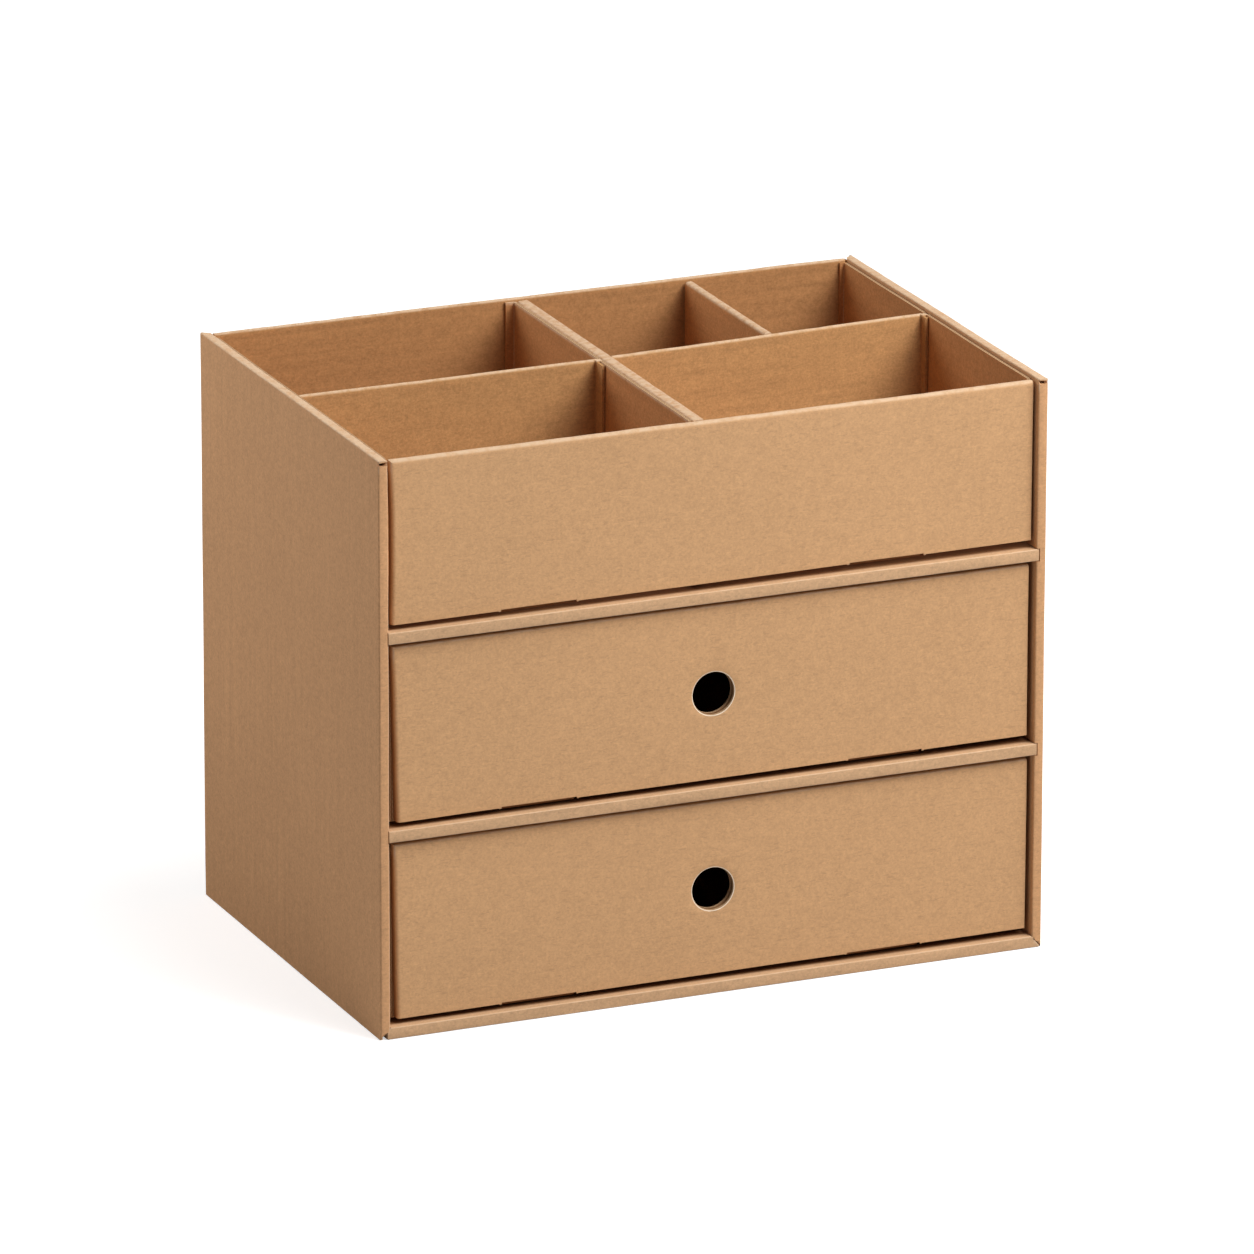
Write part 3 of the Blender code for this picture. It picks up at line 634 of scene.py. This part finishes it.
def mark_raw_edges(bm, thin, thickness):
    """Marks the faces where one sheet of board is cut, and how its section runs there."""
    raw = bm.faces.layers.float.new("raw")
    across = bm.verts.layers.float.new("across")
    along = bm.verts.layers.float.new("along")
    flattest = 0.1
    thinnest, thickest = 0.8 * thickness, 1.2 * thickness
    lengthwise = 0.5
    sharp = math.radians(50.0)
    for face in bm.faces:
        if abs(face.normal[thin]) > flattest:
            continue
        levels = [vert.co[thin] for vert in face.verts]
        span = max(levels) - min(levels)
        if not thinnest < span < thickest:
            continue
        borders = [edge for edge in face.edges
                   if abs((edge.verts[1].co - edge.verts[0].co).normalized()[thin]) < lengthwise]
        if any(edge.calc_face_angle(0.0) < sharp for edge in borders):
            continue
        face[raw] = 1.0
        direction = unit(thin).cross(face.normal)
        for vert in face.verts:
            vert[across] = (vert.co[thin] - min(levels)) / span
            vert[along] = vert.co.dot(direction)


def mark_folds(bm, wear, painted_top_sheen):
    """Marks how rubbed the paper is, with a painted highlight: round each fold, from the slant of the faces
    there, and as painted sheen along the narrow strip on top. The share function, where given, gives the
    share of it that shows at a point."""
    fold = bm.verts.layers.float.new("fold")
    top = max(vert.co.z for vert in bm.verts)
    level = 0.98
    steepest = 1.0 - math.sqrt(0.5)
    slant = {face: (1.0 - max(abs(part) for part in face.normal)) / steepest for face in bm.faces}
    for vert in bm.verts:
        faces = vert.link_faces
        if not faces:
            continue
        amount = sum(slant[face] for face in faces) / len(faces) * FOLD_AND_HIGHLIGHT_GAIN - FOLD_AND_HIGHLIGHT_START
        # Painted sheen on the upward faces of the narrow top strip
        if any(face.normal.z > level and vert.co.z > top - TOP_SHEEN_STRIP for face in faces):
            amount = max(amount, painted_top_sheen)
        if wear:
            amount *= wear(vert.co)
        vert[fold] = max(0.0, min(1.0, amount))


def mark_inside(bm, inside):
    """Marks the painted shade, by a share for each point."""
    liner = bm.verts.layers.float.new("inside")
    for vert in bm.verts:
        vert[liner] = inside(vert.co)


def wave(point, sizes):
    """The slow waves of the sheets, the same for all pieces, so that neighbours stay clear."""
    shorter, share = QUICK_WAVES
    slow = noise.noise_vector(point / sizes.warp_length)
    quick = noise.noise_vector(point / (sizes.warp_length / shorter))
    return (slow + quick * share) * sizes.warp


def dents(point, sizes):
    """How deep the folds are dented at a point, as a share of the full depth."""
    smaller, share = SMALL_DENTS
    large = noise.noise(point / sizes.dent_length)
    small = noise.noise(point / (sizes.dent_length / smaller))
    return max(0.0, large + share * small)


def set_waves(bm, sizes, calm, bend):
    """Moves the points by the sheets' waves, the dents of the folds and the panel's own bend, and keeps
    them within the part's box."""
    fold = bm.verts.layers.float["fold"]
    low, high = Vector(CAD_BOX[0]), Vector(CAD_BOX[1])
    noise.seed_set(WAVE_SEED)
    bm.normal_update()
    moves = []
    for vert in bm.verts:
        move = wave(vert.co, sizes)
        move = Vector([move[index] * calm[index] for index in range(3)])
        move -= vert.normal * dents(vert.co, sizes) * sizes.dent * vert[fold]
        if bend:
            move += bend(vert.co)
        moves.append(move)
    for vert, move in zip(bm.verts, moves):
        place = vert.co + move
        vert.co = Vector([min(max(place[index], low[index]), high[index]) for index in range(3)])


def sharpen(bm, angle):
    """Shades the mesh smooth, with its edges sharp from an angle on."""
    for face in bm.faces:
        face.smooth = True
    for edge in bm.edges:
        edge.smooth = len(edge.link_faces) == 2 and edge.calc_face_angle(0.0) < angle


def tighten(bm, low, high, creases, share):
    """Makes the named creases of a panel tighter. Each is the two sides of the panel's box that meet
    there, and the share is what is left of its radius."""
    slack = -0.01
    on_arc = 0.97
    for vert in bm.verts:
        for crease in creases:
            reach = []
            for axis, at_high in crease:
                reach.append(high[axis] - vert.co[axis] if at_high else vert.co[axis] - low[axis])
            first, second = (1.0 - part / CREASE_RADIUS for part in reach)
            if min(first, second) < slack or first * first + second * second < on_arc:
                continue
            for (axis, at_high), part in zip(crease, reach):
                vert.co[axis] += part * (1.0 - share) * (1.0 if at_high else -1.0)


def dress(node, slot, colour, thin, flutes, cells, streaks, contrast=1.0, calm=(1.0, 1.0, 1.0), wear=None,
          painted_top_sheen=0.0, bend=None, finish=None, creases=(), tight=0.5, inside=None, cuts=()):
    """Puts a piece of waved, dented board in the place of one plain panel.

    The share functions give the share of rubbed paper with painted highlight and of painted shade at a point,
    bend gives the point's move, and finish changes the mesh, for which it gets the panel's box.
    """
    sizes = bpy.context.scene.board
    source = frame["nodes"][node]
    low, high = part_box(node)
    bm = bmesh.new()
    bm.from_mesh(source.data)
    bmesh.ops.remove_doubles(bm, verts=bm.verts[:], dist=SAME_PLACE)
    bmesh.ops.dissolve_limit(bm, angle_limit=FLAT_ANGLE, verts=bm.verts[:], edges=bm.edges[:])
    for axis in range(3):
        if axis != AXES[thin]:
            cut_grid(bm, axis, grid_places(low[axis], high[axis], cells[axis]))
    cut_grid(bm, AXES["y"], cuts)
    tighten(bm, low, high, creases, tight)
    bm.normal_update()
    mark_raw_edges(bm, AXES[thin], sizes.thickness)
    mark_folds(bm, wear, painted_top_sheen)
    if inside:
        mark_inside(bm, inside)
    if finish:
        finish(bm, low, high)
    set_waves(bm, sizes, calm, bend)
    bm.normal_update()
    sharpen(bm, SHARP_ANGLE)
    mesh = bpy.data.meshes.new(node + "_board")
    bm.to_mesh(mesh)
    bm.free()
    name = f"kraft_{slot}_{flutes}_{round(1000 * colour[0])}"
    mesh.materials.append(kraft_paper(name, colour, flutes, streaks, contrast))
    piece = bpy.data.objects.new(node + "_board", mesh)
    bpy.context.scene.collection.objects.link(piece)
    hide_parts(node)
    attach(piece, BODY_OF[node])


# Forms and wear of the single panels

def loose_front(node):
    """How a front hangs out of true: its end folds stand in from their places, from its top down to its
    foot, its foot rises towards the right, and its slots are hardly higher than its foot."""
    left_insets, right_insets, foot_rises = LOOSE_FRONTS[node]
    low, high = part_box(node)
    foot = low.z + FOOT_LIFT
    slot_top = foot + SLOT_LIFT

    def bend(point):
        down = (high.z - point.z) / (high.z - foot)
        left = max(0.0, 1.0 - (point.x - low.x) / END_REACH) * eased(left_insets, down)
        right = max(0.0, 1.0 - (high.x - point.x) / END_REACH) * eased(right_insets, down)
        along = (point.x - low.x) / (high.x - low.x)
        rise = foot_rises[0] + (foot_rises[1] - foot_rises[0]) * along
        rise *= max(0.0, 1.0 - (point.z - foot) / FOOT_REACH)
        if abs(point.z - slot_top) < 2.0 * ON_LINE and point.y < low.y + FRONT_SHEET:
            rise -= SLOT_DROP
        return Vector((left - right, 0.0, rise))

    return bend


def front_inside(node):
    """Where a front gets its painted shade: on its ends and its foot behind the creases, and half on its
    back."""
    low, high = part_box(node)
    start, length = FRONT_SHADE_BAND
    foot = low.z + FOOT_LIFT + FRONT_FOOT

    def inside(point):
        if point.z > high.z - FRONT_TOP:
            return 0.0
        behind = rising(point.y, low.y + start, length)
        at_end = point.x < low.x + FRONT_END or point.x > high.x - FRONT_END
        return behind * (1.0 if at_end or point.z < foot else FRONT_BACK_SHARE)

    return inside


def shelf_inside(point):
    """Where a shelf gets its painted shade: behind its front strip, most where the fronts' feet stand."""
    start, length = SHELF_SHADE_BAND
    fade = SHELF_FADE * rising(point.y, FACE_Y + FADE_START, FADE_LENGTH)
    return rising(point.y, FACE_Y + start, length) * (1.0 - fade)


def wall_inside(point):
    """Where a side wall gets its painted shade: on its bay side, behind the fronts' faces."""
    if abs(point.x) > BAY_HALF + ON_LINE or point.z > BOX_TOP - WALL_TOP:
        return 0.0
    start, length = WALL_SHADE_BAND
    return WALL_SHADE_SHARE * rising(point.y, FACE_Y + start, length)


def wall_corners(node):
    """How a side wall's open corners look at its front: the wedge under its top strip is a lens, and the
    notches round the shelves' ends are thin slits."""
    low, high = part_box(node)
    slit_shift = LEFT_SLIT_SHIFT if low.x < 0.0 else RIGHT_SLIT_SHIFT

    def bend(point):
        if point.y > low.y + WALL_SHEET:
            return STILL
        if abs(abs(point.x) - NOTCH_HALF) < ON_LINE and point.z < high.z - SLITS_BELOW:
            return Vector((slit_shift, 0.0, 0.0))
        outwards = (abs(point.x) - BAY_HALF) / WEDGE_DEPTH
        if high.z - WEDGE_FOOT < point.z < high.z - WEDGE_TOP:
            return Vector((0.0, 0.0, eased(LENS_FOOT, outwards)))
        if high.z - WEDGE_TOP < point.z < high.z - STRIP_EDGE:
            return Vector((0.0, 0.0, eased(LENS_TOP, outwards)))
        return STILL

    return bend


def shorter_strip(node):
    """How a shelf's front strip ends a little short of the walls' folds."""
    low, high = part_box(node)

    def bend(point):
        if point.y > low.y + STRIP_DEPTH:
            return STILL
        if point.x < low.x + STRIP_END:
            return Vector((LEFT_END_SHIFT, 0.0, 0.0))
        if point.x > high.x - STRIP_END:
            return Vector((RIGHT_END_SHIFT, 0.0, 0.0))
        return STILL

    return bend


def wall_wear(node):
    """The share of rubbing and painted highlight on a side wall: its top and the left wall's bay side, which
    faces the lamps, get the most.
    """
    low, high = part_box(node)
    middle = (low.x + high.x) / 2.0
    bay_share = 0.9 if middle < 0.0 else 0.30
    outer_share = 0.35

    def wear(point):
        if point.z > high.z - WALL_TOP:
            return 1.0
        return bay_share if abs(point.x) < abs(middle) else outer_share

    return wear


def front_wear(node, right_share=0.35):
    """The share of rubbing and painted highlight on a front: most on its top fold, less on its end folds, and
    more on the right end, which faces the lamps.
    """
    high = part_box(node)[1]
    below, length = TOP_RUBBED_AND_HIGHLIT
    left_share = 0.25

    def wear(point):
        end_share = right_share if point.x > 0.0 else left_share
        return end_share + (1.0 - end_share) * rising(point.z, high.z - below, length)

    return wear


def cut_front_edge(bm, low, high):
    """Takes the front strip off a bottom sheet, which really ends behind the front's inner sheet."""
    cut = bmesh.ops.bisect_plane(
        bm, geom=bm.verts[:] + bm.edges[:] + bm.faces[:], dist=SAME_PLACE,
        plane_co=Vector((0.0, low.y + FRONT_STRIP, 0.0)), plane_no=unit(AXES["y"]),
        clear_inner=True)["geom_cut"]
    bmesh.ops.holes_fill(bm, edges=[part for part in cut if isinstance(part, bmesh.types.BMEdge)], sides=0)


def add_nibs(bm, low, high):
    """Adds the small torn paper nibs that hang at the ends of a front's two slots."""
    fold = bm.verts.layers.float["fold"]
    middle = (low.x + high.x) / 2.0
    beside = TAB_WIDTH / 2.0 + NIB_BESIDE_SLOT
    for slot in (middle - TAB_FROM_MIDDLE, middle + TAB_FROM_MIDDLE):
        for end in (slot - beside, slot + beside):
            place = Vector((end, low.y + NIB_BEHIND_FACE, low.z + FOOT_LIFT - NIB_BELOW_FOOT))
            made = bmesh.ops.create_icosphere(bm, subdivisions=1, radius=NIB_RADIUS)["verts"]
            for vert in made:
                vert.co = place + vert.co * NIB_STRETCH
                vert[fold] = 1.0


def rim_hole(bm, low, high):
    """Rounds the rim of the finger hole, whose crushed paper shows pale, and puts painted shade in the hole.
    """
    def off_sides(point):
        return all(low[axis] + HOLE_FROM_SIDES < point[axis] < high[axis] - HOLE_FROM_SIDES
                   for axis in (AXES["x"], AXES["z"]))

    face_y = low.y + ON_FACE
    front = [edge for edge in bm.edges
             if len(edge.link_faces) == 2 and edge.calc_face_angle(0.0) > HOLE_EDGE_ANGLE
             and all(vert.co.y < face_y and off_sides(vert.co) for vert in edge.verts)]
    middle_x = (low.x + high.x) / 2.0
    middle_z = sum(edge.verts[0].co.z for edge in front) / len(front)
    bmesh.ops.bevel(bm, geom=front, offset=RIM_ROUNDING, segments=2, profile=0.5, affect="EDGES")
    rim = bm.faces.layers.float.new("rim")
    for face in bm.faces:
        spot = face.calc_center_median()
        away = math.hypot(spot.x - middle_x, spot.z - middle_z)
        if away < RIM_REACH and face_y < spot.y < low.y + RIM_DEPTH and abs(face.normal.y) > RIM_FACING:
            face[rim] = 1.0
    # Painted shade in the finger hole
    liner = bm.verts.layers.float["inside"]
    for vert in bm.verts:
        away = math.hypot(vert.co.x - middle_x, vert.co.z - middle_z)
        if away < HOLE_REACH and vert.co.y > low.y + HOLE_SHADE_DEPTH:
            vert[liner] = 1.0


def finish_drawer_front(bm, low, high):
    """Finishes a drawer's front with the rim of its finger hole and the nibs at its slots."""
    rim_hole(bm, low, high)
    add_nibs(bm, low, high)


# Pieces

class BOX_OT_side_walls(bpy.types.Operator):
    """Dress the two doubled side walls of the cabinet"""
    bl_idname = "storage_box.side_walls"
    bl_label = "Side walls"

    def execute(self, context):
        colour = tuple(context.scene.kraft.outer)
        for node in ("left_side_wall", "right_side_wall"):
            dress(node, "outer_board", colour, thin="x", flutes="z", cells=WALL_CELLS, streaks=0.32,
                  wear=wall_wear(node), painted_top_sheen=0.90, bend=wall_corners(node), creases=WALL_CREASES,
                  inside=wall_inside, cuts=SEAM_CUTS)
        return {"FINISHED"}


class BOX_OT_shelves(bpy.types.Operator):
    """Dress the base and the two shelves, rolled over at their front edges"""
    bl_idname = "storage_box.shelves"
    bl_label = "Base and shelves"

    def execute(self, context):
        colour = tuple(context.scene.kraft.shelf)
        for node in ("base_panel", "lower_shelf", "upper_shelf"):
            bend = None if node == "base_panel" else shorter_strip(node)
            dress(node, "shelf_board", colour, thin="z", flutes="x", cells=SHELF_CELLS, streaks=0.18,
                  calm=SHELF_CALM, bend=bend, creases=SHELF_CREASES, tight=0.40, inside=shelf_inside,
                  cuts=SEAM_CUTS)
        return {"FINISHED"}


class BOX_OT_back_panel(bpy.types.Operator):
    """Dress the cabinet's single-sheet back"""
    bl_idname = "storage_box.back_panel"
    bl_label = "Back panel"

    def execute(self, context):
        colour = tuple(context.scene.kraft.outer)
        dress("back_panel", "outer_board", colour, thin="y", flutes="z", cells=BACK_CELLS, streaks=0.32)
        return {"FINISHED"}


class BOX_OT_drawer_fronts(bpy.types.Operator):
    """Dress the rolled drawer fronts with their round finger holes"""
    bl_idname = "storage_box.drawer_fronts"
    bl_label = "Drawer fronts"

    def execute(self, context):
        colour = tuple(context.scene.kraft.front)
        for node in ("lower_drawer_front", "upper_drawer_front"):
            dress(node, "front_board", colour, thin="y", flutes="x", cells=FRONT_CELLS, streaks=0.04,
                  contrast=0.85, wear=front_wear(node), bend=loose_front(node), finish=finish_drawer_front,
                  inside=front_inside(node))
        return {"FINISHED"}


class BOX_OT_drawer_boxes(bpy.types.Operator):
    """Dress the bottoms, sides and backs of the drawers"""
    bl_idname = "storage_box.drawer_boxes"
    bl_label = "Drawer boxes"

    def execute(self, context):
        colour = tuple(context.scene.kraft.inner)
        for drawer in ("lower_drawer", "upper_drawer"):
            dress(drawer + "_bottom", "inner_board", colour, thin="z", flutes="x", cells=BOTTOM_CELLS,
                  streaks=0.5, calm=BOTTOM_CALM, finish=cut_front_edge)
            for side in ("_left_side", "_right_side"):
                dress(drawer + side, "inner_board", colour, thin="x", flutes="x", cells=DRAWER_SIDE_CELLS,
                      streaks=0.5)
            dress(drawer + "_back", "inner_board", colour, thin="y", flutes="x", cells=BACK_CELLS,
                  streaks=0.5)
        return {"FINISHED"}


class BOX_OT_tray_front(bpy.types.Operator):
    """Dress the rolled front of the lift-out tray"""
    bl_idname = "storage_box.tray_front"
    bl_label = "Tray front"

    def execute(self, context):
        node = "tray_front"
        colour = tuple(context.scene.kraft.front)
        dress(node, "front_board", colour, thin="y", flutes="x", cells=FRONT_CELLS, streaks=0.04,
              contrast=0.85, wear=front_wear(node, right_share=0.9), painted_top_sheen=0.80,
              bend=loose_front(node), finish=add_nibs, inside=front_inside(node))
        return {"FINISHED"}


class BOX_OT_tray_shell(bpy.types.Operator):
    """Dress the tray's bottom, sides and back"""
    bl_idname = "storage_box.tray_shell"
    bl_label = "Tray bottom, sides and back"

    def execute(self, context):
        colour = tuple(context.scene.kraft.inner)
        dress("tray_bottom", "inner_board", colour, thin="z", flutes="x", cells=BOTTOM_CELLS, streaks=0.5,
              calm=BOTTOM_CALM, finish=cut_front_edge)
        for node in ("tray_left_side", "tray_right_side"):
            dress(node, "inner_board", colour, thin="x", flutes="y", cells=TRAY_LONG_CELLS, streaks=0.5,
                  contrast=1.3)
        # Painted shade: the tray's back takes a darker copy of the inner board
        shaded_back_colour = tuple(context.scene.kraft.tray_back)
        dress("tray_back", "inner_board", shaded_back_colour, thin="y", flutes="x", cells=TRAY_CROSS_CELLS,
              streaks=0.6, contrast=1.35, painted_top_sheen=0.90)
        return {"FINISHED"}


class BOX_OT_dividers(bpy.types.Operator):
    """Dress the dividers that stand in the tray and the liner beside the long one"""
    bl_idname = "storage_box.dividers"
    bl_label = "Dividers"

    def execute(self, context):
        colour = tuple(context.scene.kraft.inner)
        for node in ("main_divider", "divider_liner", "short_divider"):
            dress(node, "inner_board", colour, thin="x", flutes="y", cells=TRAY_LONG_CELLS, streaks=0.5,
                  contrast=1.3, painted_top_sheen=0.85)
        # Painted light: the cross dividers take a paler copy of the inner board
        lit_cross_colour = tuple(context.scene.kraft.cross)
        for node in ("left_cross_divider", "right_cross_divider"):
            dress(node, "inner_board", lit_cross_colour, thin="y", flutes="x", cells=TRAY_CROSS_CELLS,
                  streaks=0.6, contrast=1.35, painted_top_sheen=0.80)
        return {"FINISHED"}


# Stage

FLOOR_BELOW = 0.0002
SENSOR_WIDTH = 36.0
NEAREST, FARTHEST = 0.1, 100.0

# Lamps: where each stands and how wide it is, and what they all shine at
LAMP_AIM = (0.0, 0.0, 0.14)
HIGH_LAMP_PLACE = (1.0, -0.9, 2.2)
HIGH_LAMP_SPREAD = math.radians(40.0)
LEFT_LAMP_PLACE = (-0.75, 0.55, 0.65)
LEFT_LAMP_SIZE = 0.5
NEAR_LAMP_PLACE = (0.55, -0.75, 0.95)
NEAR_LAMP_SIZE = 0.7


def white_floor(stage):
    """The floor's material: plain grey for the light, and a paler one with a little glow for the camera."""
    material = bpy.data.materials.new("white_floor")
    material.use_nodes = True
    material.node_tree.nodes.clear()
    nodes = Nodes(material.node_tree)
    grey, seen_grey = stage.floor_grey, stage.floor_seen_grey
    plain = nodes.add("ShaderNodeBsdfDiffuse", Color=(grey, grey, grey, 1.0))
    pale = nodes.add("ShaderNodeBsdfDiffuse", Color=(seen_grey, seen_grey, seen_grey, 1.0))
    glow = nodes.add("ShaderNodeEmission", Color=WHITE, Strength=stage.floor_lift)
    lifted = nodes.add("ShaderNodeAddShader")
    nodes.put(lifted, "0", pale.outputs[0])
    nodes.put(lifted, "1", glow.outputs[0])
    nodes.add("ShaderNodeOutputMaterial", Surface=nodes.seen_apart(plain.outputs[0], lifted.outputs[0]))
    return material


def add_floor(stage):
    """The floor, a hair below the box's feet."""
    half = stage.floor_size / 2.0
    signs = ((-1.0, -1.0), (1.0, -1.0), (1.0, 1.0), (-1.0, 1.0))
    corners = [(x * half, y * half, -FLOOR_BELOW) for x, y in signs]
    mesh = bpy.data.meshes.new("floor")
    mesh.from_pydata(corners, [], [(0, 1, 2, 3)])
    mesh.materials.append(white_floor(stage))
    floor = bpy.data.objects.new("floor", mesh)
    bpy.context.scene.collection.objects.link(floor)


def add_sky(stage):
    """The white room: weak even light from all round, seen as plain white."""
    world = bpy.data.worlds.new("white_room")
    bpy.context.scene.world = world
    world.use_nodes = True
    world.node_tree.nodes.clear()
    nodes = Nodes(world.node_tree)
    even = nodes.add("ShaderNodeBackground", Color=WHITE, Strength=stage.sky)
    white = nodes.add("ShaderNodeBackground", Color=WHITE, Strength=1.0)
    nodes.add("ShaderNodeOutputWorld", Surface=nodes.seen_apart(even.outputs[0], white.outputs[0]))


def add_lamp(name, kind, strength, place):
    """A lamp that stands at a place and shines towards the box."""
    lamp = bpy.data.lights.new(name, kind)
    lamp.energy = strength
    holder = bpy.data.objects.new(name, lamp)
    bpy.context.scene.collection.objects.link(holder)
    holder.location = place
    holder.rotation_mode = "QUATERNION"
    holder.rotation_quaternion = (Vector(place) - Vector(LAMP_AIM)).to_track_quat("Z", "Y")
    return lamp


def add_camera(stage):
    """The camera, at its place, turned to the right, tipped down and leaning a little."""
    data = bpy.data.cameras.new("camera")
    data.lens = stage.lens
    data.sensor_width = SENSOR_WIDTH
    data.clip_start = NEAREST
    data.clip_end = FARTHEST
    camera = bpy.data.objects.new("camera", data)
    bpy.context.scene.collection.objects.link(camera)
    turn = Matrix.Rotation(-stage.yaw, 4, "Z") @ Matrix.Rotation(math.pi / 2.0 - stage.pitch, 4, "X")
    turn = turn @ Matrix.Rotation(stage.roll, 4, "Z")
    camera.matrix_world = Matrix.Translation(stage.camera_place) @ turn
    bpy.context.scene.camera = camera


class BOX_OT_stage(bpy.types.Operator):
    """Set up the white floor, the soft light and the camera"""
    bl_idname = "storage_box.stage"
    bl_label = "Stage"

    def execute(self, context):
        stage = context.scene.stage
        context.scene.view_settings.view_transform = "Standard"
        add_floor(stage)
        add_sky(stage)
        add_lamp("high_lamp", "SUN", stage.high_lamp, HIGH_LAMP_PLACE).angle = HIGH_LAMP_SPREAD
        add_lamp("left_lamp", "AREA", stage.left_lamp, LEFT_LAMP_PLACE).size = LEFT_LAMP_SIZE
        add_lamp("near_lamp", "AREA", stage.near_lamp, NEAR_LAMP_PLACE).size = NEAR_LAMP_SIZE
        add_camera(stage)
        return {"FINISHED"}


# Panel and registration

class BOX_PT_panel(bpy.types.Panel):
    """Lists the steps that dress the storage box"""
    bl_idname = "BOX_PT_panel"
    bl_label = "Storage box"
    bl_space_type = "VIEW_3D"
    bl_region_type = "UI"
    bl_category = "Storage Box"

    def draw(self, context):
        for operator in OPERATORS:
            self.layout.operator(operator.bl_idname)
        for group in (context.scene.board, context.scene.kraft, context.scene.stage):
            for name in group.bl_rna.properties.keys():
                if name not in ("rna_type", "name"):
                    self.layout.prop(group, name)


OPERATORS = (
    BOX_OT_side_walls, BOX_OT_shelves, BOX_OT_back_panel, BOX_OT_drawer_fronts, BOX_OT_drawer_boxes,
    BOX_OT_tray_front, BOX_OT_tray_shell, BOX_OT_dividers, BOX_OT_stage,
)
CLASSES = (BOX_PG_board, BOX_PG_colours, BOX_PG_stage, *OPERATORS, BOX_PT_panel)


def register():
    """Registers the classes and hangs the settings on the scene."""
    for kind in CLASSES:
        bpy.utils.register_class(kind)
    bpy.types.Scene.board = PointerProperty(type=BOX_PG_board)
    bpy.types.Scene.kraft = PointerProperty(type=BOX_PG_colours)
    bpy.types.Scene.stage = PointerProperty(type=BOX_PG_stage)


def unregister():
    """Takes the settings and the classes away again."""
    del bpy.types.Scene.stage
    del bpy.types.Scene.kraft
    del bpy.types.Scene.board
    for kind in reversed(CLASSES):
        bpy.utils.unregister_class(kind)


def main():
    """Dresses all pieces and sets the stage."""
    register()
    bpy.ops.storage_box.side_walls()
    bpy.ops.storage_box.shelves()
    bpy.ops.storage_box.back_panel()
    bpy.ops.storage_box.drawer_fronts()
    bpy.ops.storage_box.drawer_boxes()
    bpy.ops.storage_box.tray_front()
    bpy.ops.storage_box.tray_shell()
    bpy.ops.storage_box.dividers()
    bpy.ops.storage_box.stage()


if __name__ == "__main__":
    main()
